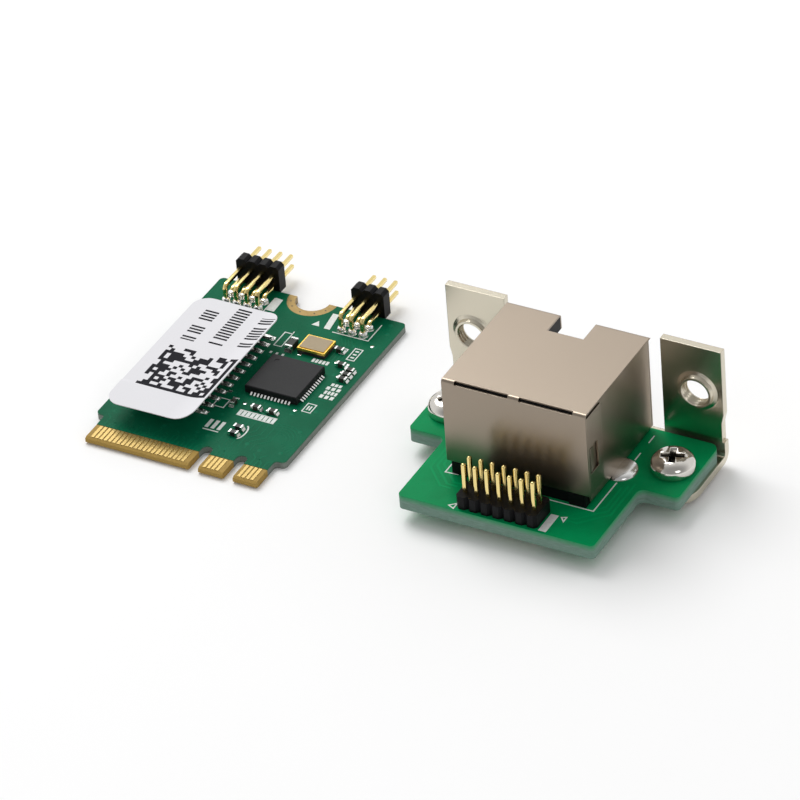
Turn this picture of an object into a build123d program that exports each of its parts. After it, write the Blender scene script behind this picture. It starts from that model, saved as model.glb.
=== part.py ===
from build123d import *
import math
import os

# An ethernet adapter in two halves, standing apart on one plane: a small edge card
# that carries the controller, and a jack board with a shielded modular jack and a
# bracket. Each half is drawn in its own frame, with the width along X, the fingers
# or the jack's rear towards -Y, and the top face of its circuit board at z = 0.

# Two halves, how they stand
stand_gap = 9.9
jack_setback = 6.6
tail_drop = 3.0

# Edge card
card_width = 22.0
card_length = 30.0
card_thickness = 0.8
card_corner = 0.5
tongue_width = 19.85
tongue_length = 4.0
tongue_relief = 0.4
tongue_bevel_run = 0.3
tongue_bevel_rise = 0.15

# Gold contacts on the tongue, numbered across both faces
contact_positions = 75
contact_half_pitch = 0.25
contact_width = 0.35
contact_length = 2.0
contact_rest = 0.05
plating = 0.04
first_key = range(8, 16)
second_key = range(24, 32)
key_width = 1.2
key_depth = 3.5

# Plated half hole for the retaining screw
retention_bore = 3.8
retention_pad = 5.6
retention_wall = 0.06

# Transformer module under the label
transformer_x = -5.65
transformer_setback = 14.6
transformer_width = 7.0
transformer_length = 15.1
transformer_height = 2.2
transformer_lift = 0.1
transformer_draft = 4.0
transformer_lead_count = 12
transformer_lead_pitch = 1.27
transformer_lead_width = 0.4
transformer_lead_sheet = 0.2
transformer_foot_reach = 1.3
transformer_foot_length = 0.75
transformer_lead_mitre = 0.15

# Paper label on the transformer, its right side curled up
label_width = 10.0
label_length = 20.0
label_paper = 0.08
label_corner = 1.8
label_overhang = 0.45
label_front_overhang = 4.45
label_curl_radius = 6.75

# Controller chip
controller_x = 4.4
controller_setback = 13.95
controller_side = 6.0
controller_height = 0.9
controller_lift = 0.05
controller_edge = 0.08
controller_lead_count = 12
controller_lead_pitch = 0.4
controller_lead_width = 0.2
controller_lead_reach = 0.35
controller_lead_rise = 0.3
controller_mark = 0.5
controller_mark_depth = 0.05
controller_mark_sides = 12

# Crystal
crystal_x = 4.55
crystal_setback = 7.55
crystal_width = 3.2
crystal_length = 2.5
crystal_base_height = 0.38
crystal_ring_height = 0.28
crystal_ring_wall = 0.18
crystal_lid_height = 0.08

# Chip capacitors and resistors: x, setback from the far edge, and 0 along X or 90 along Y
small_chip = (1.0, 0.5, 0.5)
large_chip = (1.6, 0.8, 0.8)
chip_end = 0.22
chip_skin = 0.02
chip_solder = 0.18
capacitor_places = [
    (6.95, 7.0, 0),
    (8.35, 9.25, 0),
    (9.65, 9.8, 0),
    (9.65, 10.6, 0),
    (9.65, 11.4, 0),
    (3.9, 19.1, 0),
    (5.8, 19.1, 0),
    (1.3, 19.15, 90),
]
large_capacitor_place = (2.05, 8.25, 90)
resistor_places = [(3.9, 23.8, 0), (3.9, 22.75, 0)]

# Pin headers, all at one pitch
pitch = 1.27
pin_side = 0.4
pin_taper = 0.1
header_depth = 3.4
header_notch = 0.45
left_header_x = -6.5
left_header_columns = 4
right_header_x = 6.55
right_header_columns = 3
lower_foot_setback = 2.3
header_bend_radius = 0.45
header_bend_steps = 3
side_header_block = 1.25
header_reach = 4.0
board_header_columns = 7
board_header_rear_row = -2.63
board_header_block = 1.5
board_header_pin_rise = 4.9
board_header_pin_drop = 2.5
pin_hole = 0.65
hole_sides = 6

# Solder round pins and legs
solder_foot = 0.95
solder_neck = 0.6
solder_height = 0.5
leg_solder_radius = 1.9
leg_solder_height = 0.6

# Jack board
jack_board_thickness = 1.6
jack_board_front = -5.3
jack_board_front_width = 21.6
jack_board_ear_length = 9.45
jack_board_ear_inset = 0.3
jack_board_front_corner = 0.5
jack_board_inner_corner = 0.8
jack_board_back_corner = 1.0

# Jack housing and its port
jack_depth = 14.4
housing_width = 14.8
housing_height = 11.05
port_width = 11.8
port_floor = 1.5
port_height = 6.8
port_back_wall = 2.9
latch_width = 6.4
latch_height = 1.3
latch_slot_width = 4.0
latch_slot_length = 3.0
housing_foot_width = 1.9
housing_foot_height = 1.4
peg_diameter = 2.3
peg_length = 2.4
peg_x = 5.715
peg_setback = 4.8
peg_clearance = 0.1

# Contacts in the jack
jack_contact_count = 8
jack_contact_pitch = 1.016
jack_contact_width = 0.45
jack_contact_sheet = 0.25
jack_contact_clearance = 0.08
jack_tail_rear = 1.6
jack_tail_stagger = 2.54
jack_contact_lie = 0.6
jack_contact_nose_setback = 2.55
jack_contact_tip_gap = 2.05
jack_contact_tip_z = 3.55
jack_contact_bend = 0.35
jack_hole = 0.8

# Shield, one folded sheet
shield_sheet = 0.2
shield_gap = 0.05
shield_bend = 0.25
shield_rear_foot = 1.5
shield_wall_foot = 0.4
shield_wall_drop = 0.25
shield_wall_setback = 0.6
wing_length = 3.25
wing_top_gap = 0.35
fold_slot_width = 0.35
fold_slot_near = 0.6
fold_slot_far = 6.5
window_front = 2.3
window_rear = 0.55
window_low = 3.9
window_high = 7.0
lug_clearance = 0.15
lug_stand = 0.2
leg_behind_peg = 2.7
leg_shoulder = 2.0
leg_width = 1.0
leg_drop = 2.8
leg_hole = 1.5

# Bracket, one folded sheet, and its screws
upright_width = 6.65
bracket_sheet = 0.8
bracket_gap = 0.5
bracket_height = 11.0
bracket_window_clearance = 0.75
bracket_window_corner = 0.5
bracket_strip_top = -0.8
bracket_jog = 0.25
bracket_jog_high = 3.4
bracket_jog_low = 2.3
bracket_bend_inside = 0.4
bracket_hole_spacing = 24.99
bracket_hole_height = 5.7
bracket_bore = 3.0
bracket_collar_wall = 0.25
bracket_collar_flare = 0.5
bracket_collar_lip = 0.05
bracket_collar_steps = 2
flange_width = 5.8
screw_setback = 5.2
screw_thread = 2.4
screw_head = 4.6
screw_head_height = 1.65
screw_head_fall = 0.75
screw_head_crown = 1.0
screw_recess_span = 2.5
screw_recess_width = 0.55
screw_recess_depth = 1.0
screw_recess_taper = 8.0
thread_clearance = 0.05
board_hole_clearance = 0.25

# A cutter reaches this far past what it cuts
past = 1.0

# Places worked out from the sizes above
transformer_top = transformer_lift + transformer_height
transformer_y = card_length - transformer_setback
label_start_y = transformer_y - transformer_length / 2 - label_front_overhang
controller_y = card_length - controller_setback
crystal_y = card_length - crystal_setback
lower_foot_y = card_length - lower_foot_setback
upper_foot_y = lower_foot_y - pitch
lower_pin_z = pitch / 2
upper_pin_z = lower_pin_z + pitch
header_tip_y = card_length + header_reach
board_header_front_row = board_header_rear_row - pitch
wall_inside = housing_width / 2 + shield_gap
wall_outside = wall_inside + shield_sheet
wing_inside = wall_outside + shield_gap
wing_outside = wing_inside + shield_sheet
shield_top_inside = housing_height + shield_gap
shield_top = shield_top_inside + shield_sheet
housing_rear = shield_sheet + shield_gap
housing_front = jack_depth - shield_sheet - shield_gap
port_rear = housing_rear + port_back_wall
port_top = port_floor + port_height
peg_y = jack_depth - peg_setback
leg_y = peg_y - leg_behind_peg
jack_contact_nose = housing_front - jack_contact_nose_setback
jack_contact_tip_y = port_rear + jack_contact_tip_gap
bracket_near = jack_depth + bracket_gap
bracket_far = bracket_near + bracket_sheet
bracket_bottom = -jack_board_thickness - bracket_sheet
bracket_window = wing_outside + bracket_window_clearance
bracket_width = 2 * (bracket_window + upright_width)
screw_x = bracket_width / 2 - flange_width / 2
screw_y = jack_depth - screw_setback
jack_board_ear_width = bracket_width - 2 * jack_board_ear_inset
jack_board_ear_front = jack_depth - jack_board_ear_length

total_width = card_width + stand_gap + bracket_width
total_length = card_length + header_reach
card_place = Pos((card_width - total_width) / 2, -total_length / 2, card_thickness)
jack_place = Pos((total_width - bracket_width) / 2, jack_setback - total_length / 2, tail_drop)


def block(x_from, x_to, y_from, y_to, z_from, z_to):
    """A plain block between two opposite corners."""
    middle = Pos((x_from + x_to) / 2, (y_from + y_to) / 2, (z_from + z_to) / 2)
    return middle * Box(x_to - x_from, y_to - y_from, z_to - z_from)


def post(x, y, diameter, z_from, z_to):
    """An upright round bar, or the cutter of a drilled hole."""
    return Pos(x, y, (z_from + z_to) / 2) * Cylinder(diameter / 2, z_to - z_from)


def small_drill(x, y, diameter, z_from, z_to, sides=hole_sides):
    """Cutter of a small hole, with few sides because there are so many."""
    plan = Pos(x, y, z_from) * RegularPolygon(diameter / 2, sides, major_radius=False)
    return extrude(plan, amount=z_to - z_from)


def group(pieces):
    """Like pieces as separate solids of one node."""
    return Compound([solid for piece in pieces for solid in piece.solids()])


def at_places(piece, places):
    """Copies of a piece moved to a list of (x, y) places."""
    return [Pos(x, y, 0) * piece for x, y in places]


def row(count, step, centre=0.0):
    """Evenly spaced values about a centre."""
    return [centre + step * (index - (count - 1) / 2) for index in range(count)]


def round_corners(outline, corners, radius):
    """A flat outline with the corners nearest to the given points rounded."""
    chosen = [min(outline.vertices(), key=lambda v: math.dist((v.X, v.Y), corner)) for corner in corners]
    return fillet(chosen, radius)


def strip_beside(points, sheet, bend, width):
    """Sheet or wire bent along a line in the YZ plane, as wide as given about x = 0."""
    line = FilletPolyline(*points, radius=bend)
    return extrude(Plane.YZ * trace(line, sheet), amount=width / 2, both=True)


# Edge card

def contact_x(number):
    """Place across the tongue of a contact, or of the middle between two."""
    return contact_half_pitch * ((contact_positions + 1) / 2 - number)


def key_x(numbers):
    """Centre of the notch that takes the place of these contacts."""
    return contact_x((numbers[0] + numbers[-1]) / 2)


def card_outline():
    """Plan of the edge card with its tongue, key notches and half hole."""
    body_length = card_length - tongue_length
    plan = Pos(0, tongue_length + body_length / 2) * Rectangle(card_width, body_length)
    plan += Pos(0, tongue_length / 2) * Rectangle(tongue_width, tongue_length)
    inner = [(side * tongue_width / 2, tongue_length) for side in (-1, 1)]
    plan = round_corners(plan, inner, tongue_relief)
    outer = [(side * card_width / 2, y) for side in (-1, 1) for y in (tongue_length, card_length)]
    plan = round_corners(plan, outer, card_corner)
    straight = key_depth - key_width / 2
    for numbers in (first_key, second_key):
        plan -= Pos(key_x(numbers), (straight - past) / 2) * Rectangle(key_width, straight + past)
        plan -= Pos(key_x(numbers), straight) * Circle(key_width / 2)
    return plan - Pos(0, card_length) * Circle(retention_bore / 2 + retention_wall)


def header_places(centre, columns):
    """Feet of a right-angle header, as (x, y)."""
    columns_x = row(columns, pitch, centre)
    return [(x, y) for x in columns_x for y in (upper_foot_y, lower_foot_y)]


def card_circuit_board():
    """Laminate of the edge card, thinner under the contacts and the ring."""
    contact_end = tongue_bevel_run + contact_length + contact_rest
    tip_top = -plating - tongue_bevel_rise
    low = plating - card_thickness
    side = make_face(Polyline(
        (0, tip_top), (tongue_bevel_run, -plating), (contact_end, -plating), (contact_end, 0),
        (card_length, 0), (card_length, -card_thickness), (contact_end, -card_thickness),
        (contact_end, low), (tongue_bevel_run, low), (0, low + tongue_bevel_rise), (0, tip_top)))
    board = extrude(Plane.YZ * side, amount=card_width / 2, both=True)
    board &= extrude(Plane.XY.offset(-card_thickness) * card_outline(), amount=card_thickness)
    board -= post(0, card_length, retention_pad, -plating, past)
    board -= post(0, card_length, retention_pad, -card_thickness - past, plating - card_thickness)
    feet = header_places(left_header_x, left_header_columns)
    feet += header_places(right_header_x, right_header_columns)
    board -= [small_drill(x, y, pin_hole, -card_thickness - past, past) for x, y in feet]
    return board


def edge_contacts():
    """Gold fingers, odd ones on the top face and even ones below."""
    near = tongue_bevel_run
    far = near + contact_length
    fingers = []
    for number in range(1, contact_positions + 1):
        if number in first_key or number in second_key:
            continue
        x = contact_x(number)
        top = 0 if number % 2 else plating - card_thickness
        fingers.append(block(x - contact_width / 2, x + contact_width / 2, near, far, top - plating, top))
    return group(fingers)


def mounting_ring():
    """Gold pad on both faces and down the wall of the half hole."""
    bore = retention_bore / 2
    pad = retention_pad / 2
    wall = bore + retention_wall
    low = -card_thickness
    section = make_face(Polyline(
        (bore, 0), (pad, 0), (pad, -plating), (wall, -plating), (wall, low + plating),
        (pad, low + plating), (pad, low), (bore, low), (bore, 0)))
    ring = revolve(Plane.XZ * section, axis=Axis.Z, revolution_arc=-180)
    return Pos(0, card_length, 0) * ring


def transformer_body():
    """Moulded module, drafted both ways from the line where its leads leave."""
    plan = Rectangle(transformer_width, transformer_length)
    half = transformer_height / 2
    upper = extrude(plan, amount=half, taper=transformer_draft)
    lower = extrude(plan, amount=-half, taper=transformer_draft)
    return Pos(transformer_x, transformer_y, transformer_lift + half) * (upper + lower)


def transformer_leads():
    """Flat leads down both long sides, stepped down to feet on the board."""
    side = transformer_width / 2
    tip = side + transformer_foot_reach
    knee = tip - transformer_foot_length
    sheet = transformer_lead_sheet
    leave_z = transformer_lift + transformer_height / 2
    slope = transformer_lead_mitre
    flat = make_face(Polyline(
        (side, leave_z), (knee - slope, leave_z), (knee, leave_z - slope), (knee, sheet), (tip, sheet),
        (tip, 0), (knee - sheet, 0), (knee - sheet, leave_z - slope - sheet / 2),
        (knee - slope - sheet / 2, leave_z - sheet), (side, leave_z - sheet), (side, leave_z)))
    lead = extrude(Plane.XZ * flat, amount=transformer_lead_width / 2, both=True)
    pair = [lead, Rot(0, 0, 180) * lead]
    steps = row(transformer_lead_count, transformer_lead_pitch, transformer_y)
    return group(Pos(transformer_x, y, 0) * one for one in pair for y in steps)


def id_label():
    """Paper label, flat on the transformer and curling up past its right side."""
    left = transformer_x - transformer_width / 2 - label_overhang
    lift = transformer_x + transformer_width / 2
    middle_z = transformer_top + label_paper / 2
    turn = (label_width - (lift - left)) / label_curl_radius
    right = lift + label_curl_radius * math.sin(turn)
    line = Line((left, middle_z), (lift, middle_z))
    line += JernArc((lift, middle_z), (1, 0), label_curl_radius, math.degrees(turn))
    sheet = extrude(Plane.XZ * trace(line, label_paper), amount=-label_length)
    sheet = Pos(0, label_start_y, 0) * sheet
    middle = Pos((left + right) / 2, label_start_y + label_length / 2)
    plan = middle * RectangleRounded(right - left, label_length, label_corner)
    return sheet & extrude(plan, amount=transformer_top + label_curl_radius)


def controller_body():
    """Moulded square chip with a round mark at its first corner."""
    plan = Rectangle(controller_side, controller_side)
    body = extrude(Plane.XY.offset(controller_lift) * plan, amount=controller_height)
    body = chamfer(body.faces().sort_by(Axis.Z)[-1].edges(), controller_edge)
    top = controller_lift + controller_height
    corner = controller_side / 2 - 2 * controller_mark
    floor = top - controller_mark_depth
    body -= small_drill(-corner, corner, controller_mark, floor, top + past, controller_mark_sides)
    return Pos(controller_x, controller_y, 0) * body


def controller_leads():
    """Short leads round the chip, each with its wedge of solder."""
    near = controller_side / 2
    far = near + controller_lead_reach
    flat = make_face(Polyline(
        (near, 0), (far, 0), (far, controller_lead_rise / 3), (near, controller_lead_rise), (near, 0)))
    lead = extrude(Plane.XZ * flat, amount=controller_lead_width / 2, both=True)
    middle = Pos(controller_x, controller_y, 0)
    side = [Pos(0, step, 0) * lead for step in row(controller_lead_count, controller_lead_pitch)]
    return group(middle * Rot(0, 0, 90 * quarter) * one for quarter in range(4) for one in side)


def crystal_block(width, length, z_from, height):
    """One layer of the crystal's pack."""
    plan = Pos(crystal_x, crystal_y, z_from) * Rectangle(width, length)
    return extrude(plan, amount=height)


def crystal_base():
    """Ceramic base of the crystal."""
    return crystal_block(crystal_width, crystal_length, 0, crystal_base_height)


def crystal_seal_ring():
    """Gold ring between base and lid, seen as a bright rim."""
    return crystal_block(crystal_width, crystal_length, crystal_base_height, crystal_ring_height)


def crystal_lid():
    """Thin metal lid, set in from the ring."""
    width = crystal_width - 2 * crystal_ring_wall
    length = crystal_length - 2 * crystal_ring_wall
    base = crystal_base_height + crystal_ring_height
    return crystal_block(width, length, base, crystal_lid_height)


def chip_body(size):
    """Middle of a chip part that lies along X."""
    length, width, height = size
    half = length / 2 - chip_end
    return block(-half, half, -width / 2, width / 2, 0, height - chip_skin)


def chip_ends(size):
    """Both end caps of a chip part, each with its wedge of solder."""
    length, width, height = size
    inner = length / 2 - chip_end
    outer = length / 2
    flat = make_face(Polyline(
        (inner, 0), (outer + chip_solder, 0), (outer, height / 2),
        (outer, height), (inner, height), (inner, 0)))
    cap = extrude(Plane.XZ * flat, amount=width / 2 + chip_skin, both=True)
    return [cap, Rot(0, 0, 180) * cap]


def chips_at(pieces, places):
    """Chip pieces turned and moved to each place, set back from the far edge."""
    return [Pos(x, card_length - setback, 0) * Rot(0, 0, turn) * piece
            for x, setback, turn in places for piece in pieces]


def chip_capacitors():
    """Ceramic middles of the small and the large capacitors."""
    small = chips_at([chip_body(small_chip)], capacitor_places)
    return group(small + chips_at([chip_body(large_chip)], [large_capacitor_place]))


def chip_resistors():
    """Dark middles of the resistors."""
    return group(chips_at([chip_body(small_chip)], resistor_places))


def chip_end_caps():
    """Tinned ends of every chip part."""
    small = chips_at(chip_ends(small_chip), capacitor_places + resistor_places)
    return group(small + chips_at(chip_ends(large_chip), [large_capacitor_place]))


# Pin headers

def header_outline(columns):
    """Face of a two-row header block, notched between its positions."""
    width = columns * pitch
    face = Rectangle(width, header_depth)
    for step in range(columns + 1):
        for side in (-1, 1):
            corner = Pos(step * pitch - width / 2, side * header_depth / 2)
            face -= corner * Rot(0, 0, 45) * Rectangle(header_notch, header_notch)
    return face


def side_header_insulator(centre, columns):
    """Block of a right-angle header, against the card's far edge."""
    middle_z = (lower_pin_z + upper_pin_z) / 2
    face = Plane.XZ * header_outline(columns)
    body = Pos(centre, card_length, middle_z) * extrude(face, amount=-side_header_block)
    half = pin_side / 2
    for x in row(columns, pitch, centre):
        for z in (lower_pin_z, upper_pin_z):
            body -= block(x - half, x + half, card_length - past, header_tip_y, z - half, z + half)
    return body


def side_header_pin(foot_y, height):
    """One square wire, up from its foot and out over the card's far edge."""
    points = [(foot_y, -card_thickness)]
    for step in range(header_bend_steps + 1):
        turn = math.pi / 2 * step / header_bend_steps
        rise = header_bend_radius * (1 - math.sin(turn))
        points.append((foot_y + header_bend_radius * (1 - math.cos(turn)), height - rise))
    points.append((header_tip_y, height))
    pin = extrude(Plane.YZ * trace(Polyline(*points), pin_side), amount=pin_side / 2, both=True)
    return chamfer(pin.faces().sort_by(Axis.Y)[-1].edges(), pin_taper)


def side_header_pins(centre, columns):
    """Pins of a right-angle header in two rows."""
    two = [side_header_pin(upper_foot_y, upper_pin_z), side_header_pin(lower_foot_y, lower_pin_z)]
    return group(Pos(x, 0, 0) * pin for x in row(columns, pitch, centre) for pin in two)


def solder_fillet(pin_width, pin_depth):
    """Solder drawn up the four sides of a square tail that stands on z = 0."""
    slope = math.degrees(math.atan2((solder_foot - solder_neck) / 2, solder_height))
    skirt = extrude(Rectangle(solder_foot, solder_foot), amount=solder_height, taper=slope)
    return skirt - Box(pin_width, pin_depth, 4 * solder_height)


def side_header_solder(centre, columns):
    """Solder round every foot of a right-angle header."""
    feet = [(upper_foot_y, upper_pin_z), (lower_foot_y, lower_pin_z)]
    pair = [Pos(0, y, 0) * solder_fillet(pin_side, pin_side) - side_header_pin(y, z) for y, z in feet]
    return group(Pos(x, 0, 0) * one for x in row(columns, pitch, centre) for one in pair)


def board_header_places():
    """Pins of the two-row header on the jack board, as (x, y)."""
    columns_x = row(board_header_columns, pitch)
    return [(x, y) for x in columns_x for y in (board_header_front_row, board_header_rear_row)]


def pin_header_insulator():
    """Block of the upright header."""
    middle_y = (board_header_front_row + board_header_rear_row) / 2
    body = Pos(0, middle_y, 0) * extrude(header_outline(board_header_columns), amount=board_header_block)
    return body - at_places(Box(pin_side, pin_side, 4 * board_header_block), board_header_places())


def pin_header_pins():
    """Straight square pins with tapered ends."""
    half = pin_side / 2
    pin = block(-half, half, -half, half, -board_header_pin_drop, board_header_pin_rise)
    pin = chamfer(pin.faces().sort_by(Axis.Z)[-1].edges(), pin_taper)
    pin = chamfer(pin.faces().sort_by(Axis.Z)[0].edges(), pin_taper)
    return group(at_places(pin, board_header_places()))


def solder_below(places, pin_width, pin_depth):
    """Solder on tails that come out of the underside of the jack board."""
    hanging = Rot(180, 0, 0) * solder_fillet(pin_width, pin_depth)
    return group(at_places(Pos(0, 0, -jack_board_thickness) * hanging, places))


def pin_header_solder():
    """Solder on the upright header's tails."""
    return solder_below(board_header_places(), pin_side, pin_side)


# Jack board

def jack_tail_places():
    """Tails of the jack's contacts in two staggered rows, as (x, y)."""
    columns_x = row(jack_contact_count, jack_contact_pitch)
    return [(x, jack_tail_rear + jack_tail_stagger * (index % 2)) for index, x in enumerate(columns_x)]


def leg_x():
    """Middle of the sheet of a shield leg."""
    return (wall_inside + wall_outside) / 2


def jack_circuit_board():
    """Board of T shape, with an ear on each side for the bracket's screws."""
    front_length = jack_depth - jack_board_front
    ear_middle = jack_depth - jack_board_ear_length / 2
    plan = Pos(0, jack_depth - front_length / 2) * Rectangle(jack_board_front_width, front_length)
    plan += Pos(0, ear_middle) * Rectangle(jack_board_ear_width, jack_board_ear_length)
    half_front = jack_board_front_width / 2
    half_ear = jack_board_ear_width / 2
    inner = [(side * half_front, jack_board_ear_front) for side in (-1, 1)]
    plan = round_corners(plan, inner, jack_board_inner_corner)
    back = [(side * half_ear, jack_depth) for side in (-1, 1)]
    plan = round_corners(plan, back, jack_board_back_corner)
    front = [(side * half_front, jack_board_front) for side in (-1, 1)]
    front += [(side * half_ear, jack_board_ear_front) for side in (-1, 1)]
    plan = round_corners(plan, front, jack_board_front_corner)
    board = extrude(plan, amount=-jack_board_thickness)
    low = -jack_board_thickness - past
    screw_hole = screw_thread + 2 * board_hole_clearance
    holes = [small_drill(x, y, pin_hole, low, past) for x, y in board_header_places()]
    holes += [small_drill(x, y, jack_hole, low, past) for x, y in jack_tail_places()]
    for side in (-1, 1):
        holes.append(post(side * peg_x, peg_y, peg_diameter + 2 * peg_clearance, low, past))
        holes.append(small_drill(side * leg_x(), leg_y, leg_hole, low, past))
        holes.append(post(side * screw_x, screw_y, screw_hole, low, past))
    return board - holes


def jack_housing():
    """Black moulding with the port, the latch slot and two pegs."""
    half = housing_width / 2
    body = block(-half, half, housing_rear, housing_front, 0, housing_height)
    for side in (-1, 1):
        foot_x = side * (half - housing_foot_width / 2)
        foot_y = housing_rear / 2
        foot = Box(housing_foot_width, housing_rear, housing_foot_height)
        body += Pos(foot_x, foot_y, housing_foot_height / 2) * foot
        body += post(side * peg_x, peg_y, peg_diameter, -peg_length, 0)
    front = housing_front + past
    latch_top = port_top + latch_height
    body -= block(-port_width / 2, port_width / 2, port_rear, front, port_floor, port_top)
    body -= block(-latch_width / 2, latch_width / 2, port_rear, front, port_top, latch_top)
    slot = latch_slot_width / 2
    body -= block(-slot, slot, jack_depth - latch_slot_length, front, latch_top, housing_height + past)
    channel = jack_contact_width / 2 + jack_contact_clearance
    beside = jack_contact_sheet / 2 + jack_contact_clearance
    for x, y in jack_tail_places():
        body -= block(x - channel, x + channel, y - beside, jack_contact_nose + beside, 0, port_floor)
    return body


def jack_contacts():
    """Eight wires, from the board along the floor and bent back into the port."""
    lie = jack_contact_lie
    bend = jack_contact_bend
    wires = []
    for x, y in jack_tail_places():
        line = Polyline(
            (y, -tail_drop), (y, lie), (jack_contact_nose - bend, lie), (jack_contact_nose, lie + bend),
            (jack_contact_nose - bend, lie + 2 * bend), (jack_contact_tip_y, jack_contact_tip_z))
        wire = extrude(Plane.YZ * trace(line, jack_contact_sheet), amount=jack_contact_width / 2, both=True)
        wires.append(Pos(x, 0, 0) * wire)
    return group(wires)


def shield_spine():
    """Rear flap, top and front wall as one strip, bent twice."""
    half = shield_sheet / 2
    top = shield_top - half
    points = [
        (half, shield_rear_foot), (half, top),
        (jack_depth - half, top), (jack_depth - half, shield_wall_foot)]
    spine = strip_beside(points, shield_sheet, shield_bend, 2 * wing_outside)
    for side in (-1, 1):
        outer = Pos(side * (wall_outside + past / 2), jack_depth, shield_top_inside / 2)
        spine -= outer * Box(past, 2 * shield_bend + shield_sheet, shield_top_inside)
    return spine


def shield_sides(half_width, y_bend, y_end, z_from, z_to):
    """A channel of sheet in plan: a crosswise wall with a side wall at each end."""
    x = half_width - shield_sheet / 2
    line = FilletPolyline((0, y_bend), (x, y_bend), (x, y_end), radius=shield_bend)
    right = extrude(Pos(0, 0, z_from) * trace(line, shield_sheet), amount=z_to - z_from)
    return right + mirror(right, about=Plane.YZ)


def lug():
    """Wedge pushed out of the right side wall, that catches the wing's window."""
    rear = window_rear + lug_clearance
    front = window_front - lug_clearance
    stand = wall_outside + shield_gap + lug_stand
    flat = make_face(Polyline((wall_inside, rear), (wall_inside, front), (wall_outside, front),
                              (stand, rear + lug_clearance), (stand, rear), (wall_inside, rear)))
    low = window_low + lug_clearance
    return extrude(Pos(0, 0, low) * flat, amount=window_high - window_low - 2 * lug_clearance)


def leg():
    """Right leg of the shield, down through the board, with a tapered tip."""
    shoulder = leg_shoulder / 2
    half = leg_width / 2
    flat = make_face(Polyline(
        (-shoulder, shield_wall_foot), (-shoulder, 0), (-half, 0), (-half, half - leg_drop),
        (-half / 2, -leg_drop), (half / 2, -leg_drop), (half, half - leg_drop), (half, 0),
        (shoulder, 0), (shoulder, shield_wall_foot), (-shoulder, shield_wall_foot)))
    sheet = extrude(Plane.YZ * flat, amount=shield_sheet)
    return Pos(wall_inside, leg_y, 0) * sheet


def jack_shield():
    """Tinned sheet folded round the housing."""
    half = shield_sheet / 2
    wing_top = shield_top_inside - wing_top_gap
    shell = shield_spine()
    shell += shield_sides(wing_outside, half, wing_length, shield_rear_foot, wing_top)
    wall_top = shield_top_inside - shield_wall_drop
    shell += shield_sides(wall_outside, jack_depth - half, shield_wall_setback, shield_wall_foot, wall_top)
    for side in (-1, 1):
        slot_x = side * (fold_slot_near + fold_slot_far) / 2
        slot = Box(fold_slot_far - fold_slot_near, 2 * fold_slot_width, 2 * fold_slot_width)
        shell -= Pos(slot_x, 0, shield_top) * slot
        inner = wing_inside - shield_gap / 2
        outer = wing_outside + past
        window = block(inner, outer, window_rear, window_front, window_low, window_high)
        pair = [window, lug(), leg()]
        if side < 0:
            pair = [mirror(piece, about=Plane.YZ) for piece in pair]
        shell = shell - pair[0] + pair[1] + pair[2]
    mouth_front = jack_depth + past
    mouth_rear = housing_front
    port = port_width / 2
    latch = latch_width / 2
    latch_top = port_top + latch_height
    slot = latch_slot_width / 2
    shell -= block(-port, port, mouth_rear, mouth_front, port_floor, port_top)
    shell -= block(-latch, latch, mouth_rear, mouth_front, port_top - shield_gap, latch_top)
    shell -= block(-slot, slot, jack_depth - latch_slot_length, mouth_front, latch_top, shield_top + past)
    return shell


def shield_leg_solder():
    """Half rounds of solder against the shield's side walls."""
    radius = leg_solder_radius
    height = leg_solder_height
    section = make_face(Polyline((0, 0), (radius, 0), (radius / 2, height), (0, height), (0, 0)))
    half = Rot(0, 0, -90) * revolve(Plane.XZ * section, axis=Axis.Z, revolution_arc=180)
    right = Pos(wall_outside, leg_y, 0) * half
    return group([right, mirror(right, about=Plane.YZ)])


def jack_pin_solder():
    """Solder on the tails of the jack's contacts."""
    return solder_below(jack_tail_places(), jack_contact_width, jack_contact_sheet)


# Bracket

def bracket_plate():
    """Upright plate: a wide U round the jack, its outer edges jogged in low down."""
    half = bracket_width / 2
    low = half - bracket_jog
    outline = make_face(Polyline(
        (-low, bracket_bottom), (low, bracket_bottom), (low, bracket_jog_low), (half, bracket_jog_high),
        (half, bracket_height), (bracket_window, bracket_height), (bracket_window, bracket_strip_top),
        (-bracket_window, bracket_strip_top), (-bracket_window, bracket_height), (-half, bracket_height),
        (-half, bracket_jog_high), (-low, bracket_jog_low), (-low, bracket_bottom)))
    corners = [(side * bracket_window, bracket_strip_top) for side in (-1, 1)]
    outline = round_corners(outline, corners, bracket_window_corner)
    return Pos(0, bracket_near, 0) * extrude(Plane.XZ * outline, amount=-bracket_sheet)


def bracket_flange():
    """Right flange: folded back under the board's ear and rounded about its screw."""
    half = bracket_sheet / 2
    middle_z = bracket_bottom + half
    bend = bracket_bend_inside + half
    radius = flange_width / 2
    points = [
        (bracket_near + half, bracket_strip_top + bend),
        (bracket_near + half, middle_z), (screw_y - radius, middle_z)]
    angle = Pos(screw_x, 0, 0) * strip_beside(points, bracket_sheet, bend, flange_width)
    plan = Pos(screw_x, screw_y) * Circle(radius)
    length = bracket_far - screw_y
    plan += Pos(screw_x, screw_y + length / 2) * Rectangle(flange_width, length)
    reach = bracket_strip_top + bend - bracket_bottom
    return angle & extrude(Pos(0, 0, bracket_bottom) * plan, amount=reach)


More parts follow.
